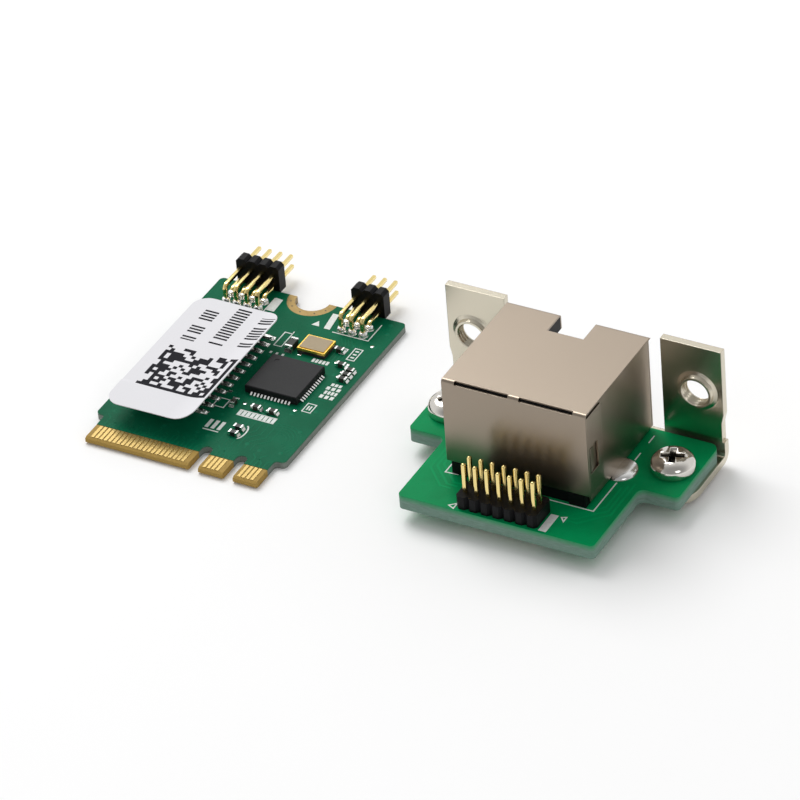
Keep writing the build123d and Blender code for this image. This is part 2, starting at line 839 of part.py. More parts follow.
def bracket_collar():
    """Collar drawn out of the sheet towards the jack, with a flared root and a thin rim."""
    rim = bracket_bore / 2 + bracket_collar_wall
    flare = bracket_collar_flare
    stand = flare + bracket_collar_lip
    points = [(0, 0)]
    for step in range(bracket_collar_steps + 1):
        turn = math.pi / 2 * step / bracket_collar_steps
        points.append((rim + flare * (1 - math.sin(turn)), flare * (1 - math.cos(turn))))
    points += [(rim, stand), (0, stand), (0, 0)]
    collar = revolve(Plane.XZ * make_face(Polyline(*points)), axis=Axis.Z)
    return Rot(90, 0, 0) * collar


def bracket():
    """Plate with two flanges, and a drawn collar for each of the panel's screws."""
    half = bracket_width / 2
    bend = bracket_bend_inside + bracket_sheet
    body = bracket_plate()
    for side in (-1, 1):
        near = min(side * (half - flange_width), side * half)
        room = block(near, near + flange_width, bracket_near - past, bracket_far + past,
                     bracket_bottom - past, bracket_bottom + bend)
        flange = bracket_flange()
        if side < 0:
            flange = mirror(flange, about=Plane.YZ)
        body = body - room + flange
    bore_reach = bracket_sheet + bracket_collar_flare + bracket_collar_lip + past
    bore = Rot(90, 0, 0) * Cylinder(bracket_bore / 2, 2 * bore_reach)
    for x in row(2, bracket_hole_spacing):
        body += Pos(x, bracket_near, bracket_hole_height) * bracket_collar()
        body -= Pos(x, bracket_near, bracket_hole_height) * bore
    thread = screw_thread + 2 * thread_clearance
    low = bracket_bottom - past
    return body - [post(side * screw_x, screw_y, thread, low, 0) for side in (-1, 1)]


def bracket_screws():
    """Two pan-head screws with a cross recess."""
    head = post(0, 0, screw_head, 0, screw_head_height)
    head = chamfer(head.edges().group_by(Axis.Z)[-1], screw_head_fall, screw_head_crown)
    shank = post(0, 0, screw_thread, -tail_drop, 0)
    screw = head + shank
    arm = extrude(Rectangle(screw_recess_span, screw_recess_width), amount=screw_recess_depth,
                  taper=screw_recess_taper)
    for turn in (0, 90):
        screw -= Pos(0, 0, screw_head_height) * Rot(180, 0, turn) * arm
    return group(at_places(screw, [(side * screw_x, screw_y) for side in (-1, 1)]))


card_nodes = {
    "card_circuit_board": card_circuit_board(),
    "edge_contacts": edge_contacts(),
    "mounting_ring": mounting_ring(),
    "transformer_body": transformer_body(),
    "transformer_leads": transformer_leads(),
    "id_label": id_label(),
    "controller_body": controller_body(),
    "controller_leads": controller_leads(),
    "crystal_base": crystal_base(),
    "crystal_seal_ring": crystal_seal_ring(),
    "crystal_lid": crystal_lid(),
    "chip_capacitors": chip_capacitors(),
    "chip_resistors": chip_resistors(),
    "chip_end_caps": chip_end_caps(),
    "left_header_insulator": side_header_insulator(left_header_x, left_header_columns),
    "left_header_pins": side_header_pins(left_header_x, left_header_columns),
    "left_header_solder": side_header_solder(left_header_x, left_header_columns),
    "right_header_insulator": side_header_insulator(right_header_x, right_header_columns),
    "right_header_pins": side_header_pins(right_header_x, right_header_columns),
    "right_header_solder": side_header_solder(right_header_x, right_header_columns),
}

jack_nodes = {
    "jack_circuit_board": jack_circuit_board(),
    "jack_housing": jack_housing(),
    "jack_contacts": jack_contacts(),
    "jack_shield": jack_shield(),
    "shield_leg_solder": shield_leg_solder(),
    "jack_pin_solder": jack_pin_solder(),
    "pin_header_insulator": pin_header_insulator(),
    "pin_header_pins": pin_header_pins(),
    "pin_header_solder": pin_header_solder(),
    "bracket": bracket(),
    "bracket_screws": bracket_screws(),
}

os.makedirs("parts", exist_ok=True)
for place, nodes in ((card_place, card_nodes), (jack_place, jack_nodes)):
    for name, shape in nodes.items():
        export_step(place * shape, f"parts/{name}.step")
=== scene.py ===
import math
from functools import partial

import bmesh
import bpy
from mathutils import Matrix, Vector


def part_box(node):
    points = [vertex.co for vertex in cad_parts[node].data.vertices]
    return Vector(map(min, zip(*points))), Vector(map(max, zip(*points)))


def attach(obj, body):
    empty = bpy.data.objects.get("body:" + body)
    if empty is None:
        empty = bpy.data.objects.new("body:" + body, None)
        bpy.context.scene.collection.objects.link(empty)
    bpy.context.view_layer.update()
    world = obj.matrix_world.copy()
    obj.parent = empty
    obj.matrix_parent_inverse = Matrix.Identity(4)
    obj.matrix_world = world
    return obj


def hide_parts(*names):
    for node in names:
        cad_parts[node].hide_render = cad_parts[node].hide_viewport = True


bl_info = {
    "name": "Ethernet adapter card finish",
    "version": (1, 0, 0),
    "blender": (4, 5, 0),
    "location": "3D View > Sidebar > Adapter",
    "description": "Dresses the two halves of an ethernet adapter card and sets up its studio",
    "category": "Object",
}

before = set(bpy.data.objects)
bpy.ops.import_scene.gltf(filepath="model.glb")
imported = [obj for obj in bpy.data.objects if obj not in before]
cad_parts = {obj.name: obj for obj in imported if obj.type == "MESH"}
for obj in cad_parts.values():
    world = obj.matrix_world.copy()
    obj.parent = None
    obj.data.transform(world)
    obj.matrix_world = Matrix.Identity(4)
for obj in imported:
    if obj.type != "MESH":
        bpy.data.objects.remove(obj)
MM = 0.001

# Each half is dressed in its own frame: middle of its width, card tip or jack rear, top face
card_low, card_high = (Vector(corner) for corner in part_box("card_circuit_board"))
jack_low, jack_high = (Vector(corner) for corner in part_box("jack_circuit_board"))
CARD = Vector(((card_low.x + card_high.x) / 2, card_low.y, card_high.z))
JACK = Vector(((jack_low.x + jack_high.x) / 2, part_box("jack_shield")[0][1], jack_high.z))


def in_half(name, origin):
    """Lowest and highest corner of a node in millimetres, counted from a half's origin."""
    return [(Vector(corner) - origin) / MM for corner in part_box(name)]


def middle_of(name, origin):
    """Middle of a node's box in millimetres, counted from a half's origin."""
    low, high = in_half(name, origin)
    return (low + high) / 2


def colour(name, description, value):
    """A colour that a user may change."""
    return bpy.props.FloatVectorProperty(
        name=name, description=description, subtype="COLOR", size=3, min=0.0, max=1.0, default=value)


def length(name, description, millimetres):
    """A length that a user may change, held in metres."""
    return bpy.props.FloatProperty(
        name=name, description=description, unit="LENGTH", precision=5, default=millimetres * MM)


def number(name, description, value):
    """A plain number that a user may change."""
    return bpy.props.FloatProperty(name=name, description=description, default=value)


def angle(name, description, degrees):
    """An angle that a user may change."""
    return bpy.props.FloatProperty(
        name=name, description=description, subtype="ANGLE", default=math.radians(degrees))


class AdapterColours(bpy.types.PropertyGroup):
    """Colours of the finishes."""

    card_mask: colour("Card mask", "Green coating of the edge card", (0.001, 0.100, 0.045))
    card_mask_light: colour("Card mask over copper", "Coating where copper lies below", (0.003, 0.140, 0.066))
    card_core: colour("Card core", "Laminate at the card's cut edges", (0.27, 0.30, 0.27))
    bare_core: colour("Bare core", "Laminate between the edge contacts", (0.44, 0.285, 0.078))
    jack_mask: colour("Jack board mask", "Green coating of the jack board", (0.0, 0.225, 0.070))
    jack_mask_light: colour("Jack mask over copper", "Coating where copper lies below", (0.0, 0.295, 0.095))
    jack_core: colour("Jack board core", "Laminate at the jack board's cut edges", (0.22, 0.34, 0.28))
    ink: colour("Print", "White ink on the boards", (0.80, 0.83, 0.80))
    gold: colour("Contact gold", "Plating of the edge contacts", (0.42, 0.30, 0.11))
    ring_gold: colour("Ring gold", "Plating of the half hole", (0.28, 0.195, 0.078))
    pin_gold: colour("Pin gold", "Plating of the header pins", (0.92, 0.74, 0.31))
    tin: colour("Tin", "Leads and end caps", (0.80, 0.80, 0.78))
    solder: colour("Solder", "Solder fillets", (0.86, 0.86, 0.84))
    moulding: colour("Black moulding", "Header blocks and jack housing", (0.006, 0.006, 0.007))
    chip: colour("Chip moulding", "Controller and transformer", (0.014, 0.014, 0.015))
    paper: colour("Label paper", "Paper of the label", (0.74, 0.735, 0.76))
    label_ink: colour("Label ink", "Black print on the label", (0.010, 0.010, 0.014))
    crystal_lid: colour("Crystal lid", "Metal lid of the crystal", (0.262, 0.205, 0.124))
    crystal_base: colour("Crystal base", "Ceramic base of the crystal", (0.03, 0.026, 0.024))
    crystal_rim: colour("Crystal rim", "Gold ring of the crystal", (0.82, 0.53, 0.09))
    capacitor: colour("Capacitor", "Ceramic of the capacitors", (0.025, 0.030, 0.020))
    resistor: colour("Resistor", "Coating of the resistors", (0.010, 0.010, 0.012))
    shield: colour("Shield", "Plated sheet of the jack's shield", (0.315, 0.262, 0.208))
    bracket: colour("Bracket", "Plated sheet of the bracket", (0.64, 0.59, 0.48))
    screw: colour("Screw", "Plated steel of the screws", (0.72, 0.69, 0.64))


class AdapterSizes(bpy.types.PropertyGroup):
    """Sizes of what is added to the model."""

    ink_height: length("Ink height", "Thickness of the print", 0.02)
    trace_height: length("Trace height", "How far a trace lifts the coating", 0.008)
    trace_width: length("Trace width", "Width of a trace under the coating", 0.15)
    via_radius: length("Via radius", "Radius of a coated via", 0.25)
    pad_height: length("Pad height", "Thickness of a tinned pad", 0.03)
    label_width: length("Label width", "Width of the label laid flat", 10.0)
    label_paper: length("Label paper", "Thickness of the label", 0.08)
    label_corner: length("Label corner", "Corner radius of the label", 1.8)
    label_curl: length("Label curl", "Radius of the curl at its right side", 6.75)
    label_cell: length("Code cell", "Side of one cell of the label's block pattern", 0.45)
    label_bar_step: length("Bar step", "Spacing of the bars in the label's rows", 0.48)
    solder_foot: length("Solder foot", "Radius of a solder fillet on its pad", 0.50)
    solder_neck: length("Solder neck", "Radius of a solder fillet at the pin", 0.24)
    solder_rise: length("Solder rise", "Height of a solder fillet", 0.5)
    wire_bevel: length("Pin edge", "Softened edge of a header pin", 0.07)
    wire_taper: length("Pin taper", "How far a header pin narrows at its tip", 0.1)
    thread_pitch: length("Thread pitch", "Pitch of the threads in the bracket's collars", 0.4)
    thread_depth: length("Thread depth", "Depth of the threads", 0.14)
    screw_pitch: length("Screw pitch", "Pitch of the screws' thread", 0.5)
    recess_span: length("Recess span", "Length of each arm of the screws' cross", 2.4)
    recess_width: length("Recess width", "Width of each arm of the screws' cross", 0.64)
    recess_depth: length("Recess depth", "Depth of the screws' cross", 1.3)


class StageSettings(bpy.types.PropertyGroup):
    """Camera and light."""

    azimuth: angle("Azimuth", "Turn of the camera about the vertical", 31.0)
    elevation: angle("Elevation", "Height angle of the camera", 35.93)
    roll: angle("Roll", "Turn of the camera about its own axis", -4.85)
    aim_right: length("Aim right", "How far right of the card's tip the camera points", 23.1)
    aim_up: length("Aim up", "How far above the card's tip the camera points", 6.0)
    distance: length("Distance", "Camera to the card's tip along the view", 602.0)
    lens: number("Lens", "Focal length in millimetres on a 36 mm sensor", 270.0)
    floor: colour("Floor", "Pale floor", (0.95, 0.95, 0.95))
    sky: colour("Surroundings", "Pale surroundings", (1.0, 1.0, 1.0))
    sky_strength: number("Surroundings strength", "Brightness of the surroundings", 0.88)
    sky_shade: number("Surroundings shade", "Share of it that is left on the camera's side", 0.4)
    key_power: number("Key light", "Power of the large light in watts", 2.8)
    fill_power: number("Fill light", "Power of the small light in watts", 0.3)


def colours():
    return bpy.context.scene.adapter_colours


def sizes():
    return bpy.context.scene.adapter_sizes


def mm(value):
    """A length property in millimetres."""
    return value / MM


# Node helpers for the materials

def start_material(name):
    """An empty finish and its shader."""
    material = bpy.data.materials.new("finish_" + name)
    material.use_nodes = True
    return material, material.node_tree, material.node_tree.nodes["Principled BSDF"]


def join(tree, made, values):
    """Sets a node's inputs, and links those whose value is a socket."""
    for key, value in values.items():
        if isinstance(value, bpy.types.NodeSocket):
            tree.links.new(value, made.inputs[key])
        else:
            made.inputs[key].default_value = value


def node(tree, kind, values=None, **settings):
    """A shader node with its settings and its inputs."""
    made = tree.nodes.new("ShaderNode" + kind)
    for key, value in settings.items():
        setattr(made, key, value)
    join(tree, made, values or {})
    return made


def maths(tree, operation, first, second=0.0):
    """One sum on two values."""
    return node(tree, "Math", {0: first, 1: second}, operation=operation).outputs[0]


def opaque(value):
    """A colour property with its alpha, or a socket as it is."""
    if isinstance(value, bpy.types.NodeSocket):
        return value
    return (*value[:3], 1.0)


def mixed(tree, factor, first, second):
    """A colour between two others."""
    values = {0: factor, 6: opaque(first), 7: opaque(second)}
    return node(tree, "Mix", values, data_type="RGBA").outputs[2]


def shaded(tone, share):
    """A colour made darker, or lighter by a share above one."""
    return [value * share for value in tone]


def between(tree, value, low, high, start=0.3, end=0.7):
    """A value spread over another range; noise mostly lies between the usual start and end."""
    return node(tree, "MapRange", {0: value, 1: start, 2: end, 3: low, 4: high}).outputs[0]


def object_place(tree, origin=(0, 0, 0)):
    """Object coordinates in millimetres, counted from an origin of the frame."""
    place = node(tree, "TexCoord").outputs["Object"]
    shift = [-value / MM for value in origin]
    return node(tree, "Mapping", {"Vector": place, "Location": shift, "Scale": (1 / MM,) * 3}).outputs[0]


def stretched(tree, place, scale):
    """Coordinates squeezed along an axis, for a grain with a direction."""
    return node(tree, "Mapping", {"Vector": place, "Scale": scale}).outputs[0]


def apart(tree, vector):
    """The x, y and z of a vector."""
    return node(tree, "SeparateXYZ", {0: vector}).outputs[:3]


def upward(tree):
    """How far a face looks up, from -1 to 1."""
    return apart(tree, node(tree, "TexCoord").outputs["Normal"])[2]


def noise(tree, place, scale, detail=3.0, roughness=0.5):
    """Grey noise, its scale in waves to a millimetre."""
    values = {"Vector": place, "Scale": scale, "Detail": detail, "Roughness": roughness}
    return node(tree, "TexNoise", values).outputs[0]


def relief(tree, shader, height, depth, edge):
    """Bump of a depth in millimetres over softened edges, or one of the two alone."""
    values = {"Height": height, "Distance": depth * MM, "Strength": 1.0}
    if edge:
        values["Normal"] = node(tree, "Bevel", {"Radius": edge * MM}, samples=6).outputs[0]
    normal = node(tree, "Bump", values).outputs[0] if depth else values["Normal"]
    tree.links.new(normal, shader.inputs["Normal"])


# Share of a finish's tone that goes by broad patches; the rest goes by its fine grain
BROAD_SHARE = 0.7


def surface(name, tone, metallic=0.0, roughness=0.4, spread=0.1, shade=0.8, patch=0.6, grain=12.0,
            depth=0.002, edge=0.04, specular=0.5, pull=(1.0, 1.0, 1.0)):
    """A finish with uneven tone and gloss, a fine relief and softened edges."""
    material, tree, shader = start_material(name)
    place = object_place(tree)
    fine = noise(tree, stretched(tree, place, pull), grain, 4.0, 0.6)
    broad_part = maths(tree, "MULTIPLY", noise(tree, place, patch), BROAD_SHARE)
    clouds = maths(tree, "ADD", broad_part, maths(tree, "MULTIPLY", fine, 1 - BROAD_SHARE))
    join(tree, shader, {
        "Base Color": mixed(tree, between(tree, clouds, 0.0, 1.0), shaded(tone, shade), tone),
        "Roughness": between(tree, fine, roughness - spread, roughness + spread),
        "Metallic": metallic,
        "Specular IOR Level": specular,
    })
    if depth or edge:
        relief(tree, shader, fine, depth, edge)
    return material


def laminate(half, origin, painted_glow_rim):
    """Coated board: green faces, pale layered edges with a painted glow of light green along their top, and,
    on the card, a bare tongue.
    """
    c = colours()
    mask, light, core = [getattr(c, half + part) for part in ("_mask", "_mask_light", "_core")]
    material, tree, shader = start_material(half + "_laminate")
    place = object_place(tree, origin)
    y, z = apart(tree, place)[1:]
    face = maths(tree, "GREATER_THAN", maths(tree, "ABSOLUTE", upward(tree)), 0.6)
    cloud = noise(tree, place, 0.22, 4.0, 0.55)
    speck = noise(tree, place, 5.0, 3.0, 0.6)
    green = mixed(tree, between(tree, cloud, 0.0, 1.0), mask, light)
    green = mixed(tree, between(tree, speck, 0.0, 0.15), green, shaded(mask, 0.7))
    layers = noise(tree, stretched(tree, place, (0.6, 0.6, 9.0)), 1.6, 4.0, 0.65)
    side = mixed(tree, between(tree, layers, 0.0, 1.0), shaded(core, 0.62), core)
    # Painted glow: the cut edge brightens towards the light mask colour near its top
    side = mixed(tree, between(tree, z, 0.0, 0.85, start=-painted_glow_rim, end=0.0), side, light)
    tone = mixed(tree, face, side, green)
    if half == "card":
        bare_until = in_half("edge_contacts", CARD)[1].y + 0.05
        fibre = noise(tree, stretched(tree, place, (3.0, 0.8, 4.0)), 2.5, 3.0, 0.6)
        brown = mixed(tree, between(tree, fibre, 0.0, 1.0), shaded(c.bare_core, 0.75), c.bare_core)
        tone = mixed(tree, maths(tree, "LESS_THAN", y, bare_until), tone, brown)
    face_gloss = maths(tree, "MULTIPLY", face, -0.25)
    gloss = maths(tree, "ADD", face_gloss, between(tree, speck, 0.5, 0.62))
    join(tree, shader, {"Base Color": tone, "Roughness": gloss, "Specular IOR Level": 0.05})
    weave = maths(tree, "ADD", cloud, maths(tree, "MULTIPLY", speck, 0.1))
    relief(tree, shader, weave, 0.02, 0.05)
    return material


# Print on the label, in the card's frame: a block pattern, and rows of bars as (left, near, far).
# A bar fills part of its step along the row, and some bars are left out by chance
CODE_CORNER = (-8.05, 7.35)
CODE_COLUMNS, CODE_ROWS = 18, 16
BLOCK_SHARE = 0.5
BAR_ROWS = ((-7.7, 15.9, 22.9), (-4.6, 16.2, 23.0), (-1.5, 16.3, 22.2))
BAR_HEIGHT = 1.6
BAR_FILL = 0.55
BARS_LEFT_OUT = 0.2


def label_paper():
    """Paper with three rows of plain bars and a block pattern worked out by a formula."""
    c, s = colours(), sizes()
    material, tree, shader = start_material("label_paper")
    place = object_place(tree, CARD)
    x, y = apart(tree, place)[:2]
    cell = mm(s.label_cell)
    both = partial(maths, tree, "MULTIPLY")
    either = partial(maths, tree, "MAXIMUM")
    above = partial(maths, tree, "GREATER_THAN")

    def inside(value, low, high):
        return both(above(value, low), maths(tree, "LESS_THAN", value, high))

    def area(x_from, x_to, y_from, y_to):
        return both(inside(x, x_from, x_to), inside(y, y_from, y_to))

    def cell_of(value, start):
        return maths(tree, "FLOOR", maths(tree, "DIVIDE", maths(tree, "SUBTRACT", value, start), cell))

    def chance(column, row):
        key = node(tree, "CombineXYZ", {0: column, 1: row}).outputs[0]
        return node(tree, "TexWhiteNoise", {"Vector": key}, noise_dimensions="3D").outputs["Value"]

    left, near = CODE_CORNER
    right, far = left + CODE_COLUMNS * cell, near + CODE_ROWS * cell
    blocks = above(chance(cell_of(x, left), cell_of(y, near)), BLOCK_SHARE)
    ink = both(blocks, area(left, right, near, far))
    ink = either(ink, area(left, right, near, near + cell))
    ink = either(ink, area(right - cell, right, near, far))
    steps = maths(tree, "DIVIDE", y, mm(s.label_bar_step))
    bars = maths(tree, "LESS_THAN", maths(tree, "FRACT", steps), BAR_FILL)
    for index, (bar_left, bar_near, bar_far) in enumerate(BAR_ROWS):
        kept = above(chance(maths(tree, "FLOOR", steps), index + 0.5), BARS_LEFT_OUT)
        row = area(bar_left, bar_left + BAR_HEIGHT, bar_near, bar_far)
        ink = either(ink, both(both(bars, kept), row))
    ink = both(ink, above(upward(tree), 0.3))
    fibre = noise(tree, place, 9.0, 4.0, 0.65)
    paper = mixed(tree, between(tree, fibre, 0.0, 1.0), shaded(c.paper, 0.95), c.paper)
    join(tree, shader, {
        "Base Color": mixed(tree, ink, paper, c.label_ink),
        "Roughness": between(tree, fibre, 0.42, 0.55),
        "Specular IOR Level": 0.05,
    })
    relief(tree, shader, fibre, 0.003, 0.02)
    return material


def repainted(material, part, tone):
    """Lays a second tone over part of a finish."""
    tree = material.node_tree
    base = tree.nodes["Principled BSDF"].inputs["Base Color"]
    tree.links.new(mixed(tree, part, base.links[0].from_socket, tone), base)
    return material


def crystal_metal():
    """Dull lid with the gold of its weld on its narrow sides."""
    c = colours()
    material = surface("crystal_metal", c.crystal_lid, metallic=0.4, roughness=0.36, spread=0.05,
                       shade=0.95, grain=8.0, pull=(4.0, 0.5, 1.0), edge=0.0)
    tree = material.node_tree
    return repainted(material, maths(tree, "LESS_THAN", upward(tree), 0.7), c.crystal_rim)


def screw_steel():
    """Bright plating, with painted shade darkening the cross sunk in each head."""
    c = colours()
    low, high = in_half("bracket_screws", JACK)
    material = surface("screw_steel", c.screw, metallic=1.0, roughness=0.12, spread=0.04, shade=0.92,
                       grain=6.0, depth=0.001, edge=0.0)
    tree = material.node_tree
    x, y, z = apart(tree, object_place(tree, JACK))
    across = maths(tree, "SUBTRACT", maths(tree, "ABSOLUTE", x), high.x - (high.y - low.y) / 2)
    along = maths(tree, "SUBTRACT", y, (low.y + high.y) / 2)
    from_axis = node(tree, "CombineXYZ", {0: across, 1: along}).outputs[0]
    away = node(tree, "VectorMath", {0: from_axis}, operation="LENGTH").outputs["Value"]
    # Painted shade: the plating darkens the deeper it lies in the cross, where shade falls
    recess_shade = between(tree, z, 0.9, 0.0, start=high.z - 0.45, end=high.z - 0.05)
    inner = maths(tree, "LESS_THAN", away, mm(sizes().recess_span) / 2 + 0.08)
    return repainted(material, maths(tree, "MULTIPLY", recess_shade, inner), shaded(c.screw, 0.16))


def trace_coat(half):
    """Coating over the raised traces and vias of one half."""
    tone = shaded(getattr(colours(), half + "_mask_light"), 1.05)
    return surface(half + "_trace", tone, roughness=0.32, spread=0.06, shade=0.9, specular=0.05, edge=0.0)


# Finishes with a function of their own
MADE_FINISHES = {
    "card_laminate": lambda: laminate("card", CARD, painted_glow_rim=0.2),
    "jack_laminate": lambda: laminate("jack", JACK, painted_glow_rim=0.7),
    "card_trace": lambda: trace_coat("card"),
    "jack_trace": lambda: trace_coat("jack"),
    "label_paper": label_paper,
    "crystal_metal": crystal_metal,
    "screw_steel": screw_steel,
}

def plain(tone, **settings):
    """A finish by the name of its colour, and by where its surface differs from the usual one."""
    return tone, settings


def metal(tone, roughness, spread, **settings):
    """The same for bare metal."""
    return plain(tone, metallic=1.0, roughness=roughness, spread=spread, **settings)


PLAIN_FINISHES = {
    "ink": plain("ink", roughness=0.6, shade=0.82, patch=4.0, grain=20.0, edge=0.0, specular=0.2),
    "gold_plate": metal("gold", 0.34, 0.05, shade=0.85, grain=14.0, pull=(3.0, 0.6, 1.0), edge=0.03),
    "ring_plate": metal("ring_gold", 0.34, 0.05, patch=1.2, edge=0.03),
    "header_pin": metal("pin_gold", 0.17, 0.05, shade=0.9, depth=0.0003, edge=0.0),
    "contact_wire": metal("gold", 0.2, 0.06),
    "lead_tin": metal("tin", 0.21, 0.05, shade=0.85, grain=10.0),
    "solder": metal("solder", 0.2, 0.06, shade=0.88, grain=3.0, depth=0.004, edge=0.0),
    "black_moulding": plain("moulding", roughness=0.42, shade=0.6, grain=16.0, depth=0.005, edge=0.05,
                            specular=0.12),
    "chip_moulding": plain("chip", roughness=0.5, spread=0.08, grain=22.0, depth=0.005, edge=0.05,
                           specular=0.18),
    "crystal_ceramic": plain("crystal_base", roughness=0.5),
    "crystal_rim": plain("crystal_rim", metallic=0.75, roughness=0.32, spread=0.03, shade=0.9, edge=0.0),
    "capacitor_ceramic": plain("capacitor", roughness=0.45, grain=18.0, specular=0.3),
    "resistor_ceramic": plain("resistor", edge=0.03),
    "shield_sheet": metal("shield", 0.3, 0.015, shade=0.97, patch=0.08, grain=5.0, depth=0.0,
                          pull=(0.3, 2.0, 0.3), edge=0.05),
    "bracket_sheet": metal("bracket", 0.2, 0.02, shade=0.96, patch=0.2, grain=4.0, depth=0.0, edge=0.08),
}


def finish(name):
    """The named finish, made when it is first asked for."""
    made = bpy.data.materials.get("finish_" + name)
    if made is None and name in MADE_FINISHES:
        made = MADE_FINISHES[name]()
    elif made is None:
        tone, settings = PLAIN_FINISHES[name]
        made = surface(name, getattr(colours(), tone), **settings)
    return made


def dress(node_name, name):
    """Gives a node of the model its finish."""
    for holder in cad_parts[node_name].material_slots:
        holder.material = finish(name)


# Mesh helpers, all in millimetres in one half's frame

SHARP = 35.0


def evenly(count, step, centre=0.0):
    """Evenly spaced values about a centre."""
    return [centre + step * (index - (count - 1) / 2) for index in range(count)]


def arc(x, y, across, along, start, end, steps):
    """Points round a centre from one angle to another in degrees, on a circle or an ellipse."""
    turns = [math.radians(start + (end - start) * step / steps) for step in range(steps + 1)]
    return [(x + across * math.cos(turn), y + along * math.sin(turn)) for turn in turns]


def at(x, y, z=0.0, turn=0.0):
    """Where a copy goes."""
    return Matrix.Translation((x, y, z)) @ Matrix.Rotation(math.radians(turn), 4, "Z")


def verts_in(geom):
    return [item for item in geom if isinstance(item, bmesh.types.BMVert)]


def faces_in(geom):
    return [item for item in geom if isinstance(item, bmesh.types.BMFace)]


def face_out(bm):
    """Turns every face outwards."""
    bmesh.ops.recalc_face_normals(bm, faces=bm.faces)


def add_plate(bm, x_from, x_to, y_from, y_to, height):
    """A thin block that lies on the board."""
    middle = ((x_from + x_to) / 2, (y_from + y_to) / 2, height / 2)
    size = (x_to - x_from, y_to - y_from, height, 1.0)
    bmesh.ops.create_cube(bm, size=1.0, matrix=Matrix.Translation(middle) @ Matrix.Diagonal(size))


def add_disc(bm, x, y, radius, height, top_radius, sides=16):
    """A round button that stands on the board."""
    bmesh.ops.create_cone(bm, cap_ends=True, segments=sides, radius1=radius, radius2=top_radius,
                          depth=height, matrix=at(x, y, height / 2))


def add_stroke(bm, points, width, height, closed=False):
    """A flat ribbon along a line of (x, y) points, mitred at its corners."""
    verts = [bm.verts.new((x, y, 0.0)) for x, y in points]
    ends = verts[1:] + verts[:1] if closed else verts[1:]
    edges = [bm.edges.new(pair) for pair in zip(verts, ends)]
    raised = bmesh.ops.extrude_edge_only(bm, edges=edges)["geom"]
    bmesh.ops.translate(bm, vec=(0, 0, height), verts=verts_in(raised))
    bmesh.ops.solidify(bm, geom=faces_in(raised), thickness=width)


def add_lathe(bm, profile, steps, half=False):
    """A turned shape about the vertical through the origin, from (radius, height) points."""
    verts = [bm.verts.new((radius, 0, height)) for radius, height in profile]
    edges = [bm.edges.new(pair) for pair in zip(verts, verts[1:])]
    sweep = math.pi if half else 2 * math.pi
    bmesh.ops.spin(bm, geom=verts + edges, cent=(0, 0, 0), axis=(0, 0, 1), dvec=(0, 0, 0), angle=sweep,
                   steps=steps, use_merge=not half, use_duplicate=False)
    bmesh.ops.remove_doubles(bm, verts=bm.verts, dist=1e-4)
    if half:
        bmesh.ops.holes_fill(bm, edges=bm.edges, sides=0)
    face_out(bm)


def pulled(bm, face, vec, shrink=1.0):
    """Draws a face out of a body, and gives the face at the new end."""
    out = bmesh.ops.extrude_face_region(bm, geom=[face, *face.edges, *face.verts])["geom"]
    verts = verts_in(out)
    bmesh.ops.translate(bm, vec=vec, verts=verts)
    middle = sum((vert.co for vert in verts), Vector()) / len(verts)
    bmesh.ops.scale(bm, vec=(shrink,) * 3, space=Matrix.Translation(-middle), verts=verts)
    return faces_in(out)[0]


def soften(bm, edges, radius):
    """Rounds some edges."""
    bmesh.ops.bevel(bm, geom=edges, offset=radius, offset_type="OFFSET", segments=2, profile=0.5,
                    affect="EDGES", material=-1, clamp_overlap=True)


def soften_sharp(bm, radius):
    """Rounds every sharp edge."""
    limit = math.radians(SHARP)
    soften(bm, [edge for edge in bm.edges if edge.is_manifold and edge.calc_face_angle(0.0) > limit], radius)


def as_mesh(bm, name):
    """Turns a bmesh into a mesh and frees it."""
    mesh = bpy.data.meshes.new(name)
    bm.to_mesh(mesh)
    bm.free()
    return mesh


def copies(template, places):
    """A bmesh with the template repeated under each matrix."""
    mesh = as_mesh(template, "template")
    bm = bmesh.new()
    for matrix in places:
        known = len(bm.verts)
        bm.from_mesh(mesh)
        bm.verts.ensure_lookup_table()
        bmesh.ops.transform(bm, matrix=matrix, verts=bm.verts[known:])
    bpy.data.meshes.remove(mesh)
    return bm


def placed(name, data):
    """A new object in the scene."""
    thing = bpy.data.objects.new(name, data)
    bpy.context.scene.collection.objects.link(thing)
    return thing


def finish_piece(bm, name, origin, material, replaces=(), crease=SHARP, recalculate=True):
    """Turns a mesh in a half's frame into a finished piece that rides on the part."""
    if recalculate:
        face_out(bm)
    for face in bm.faces:
        face.smooth = True
    limit = math.radians(crease)
    for edge in bm.edges:
        edge.smooth = len(edge.link_faces) == 2 and edge.calc_face_angle(0.0) < limit
    bmesh.ops.transform(bm, matrix=Matrix.Translation(origin) @ Matrix.Scale(MM, 4), verts=bm.verts)
    mesh = as_mesh(bm, name)
    mesh.materials.append(finish(material))
    piece = placed(name, mesh)
    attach(piece, "root")
    if replaces:
        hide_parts(*replaces)


# What several pieces share

PITCH = 1.27
LEFT_COLUMNS = evenly(4, PITCH, middle_of("left_header_insulator", CARD).x)
RIGHT_COLUMNS = evenly(3, PITCH, middle_of("right_header_insulator", CARD).x)
UPPER_FOOT, LOWER_FOOT = evenly(2, PITCH, middle_of("left_header_solder", CARD).y)
UPRIGHT_LOW, UPRIGHT_HIGH = in_half("pin_header_pins", JACK)
UPRIGHT_COLUMNS = evenly(7, PITCH)
UPRIGHT_ROWS = evenly(2, PITCH, middle_of("pin_header_pins", JACK).y)
PIN_SIDE = UPRIGHT_HIGH.x - UPRIGHT_LOW.x - 6 * PITCH
JACK_BOARD_THICKNESS = -in_half("jack_circuit_board", JACK)[0].z


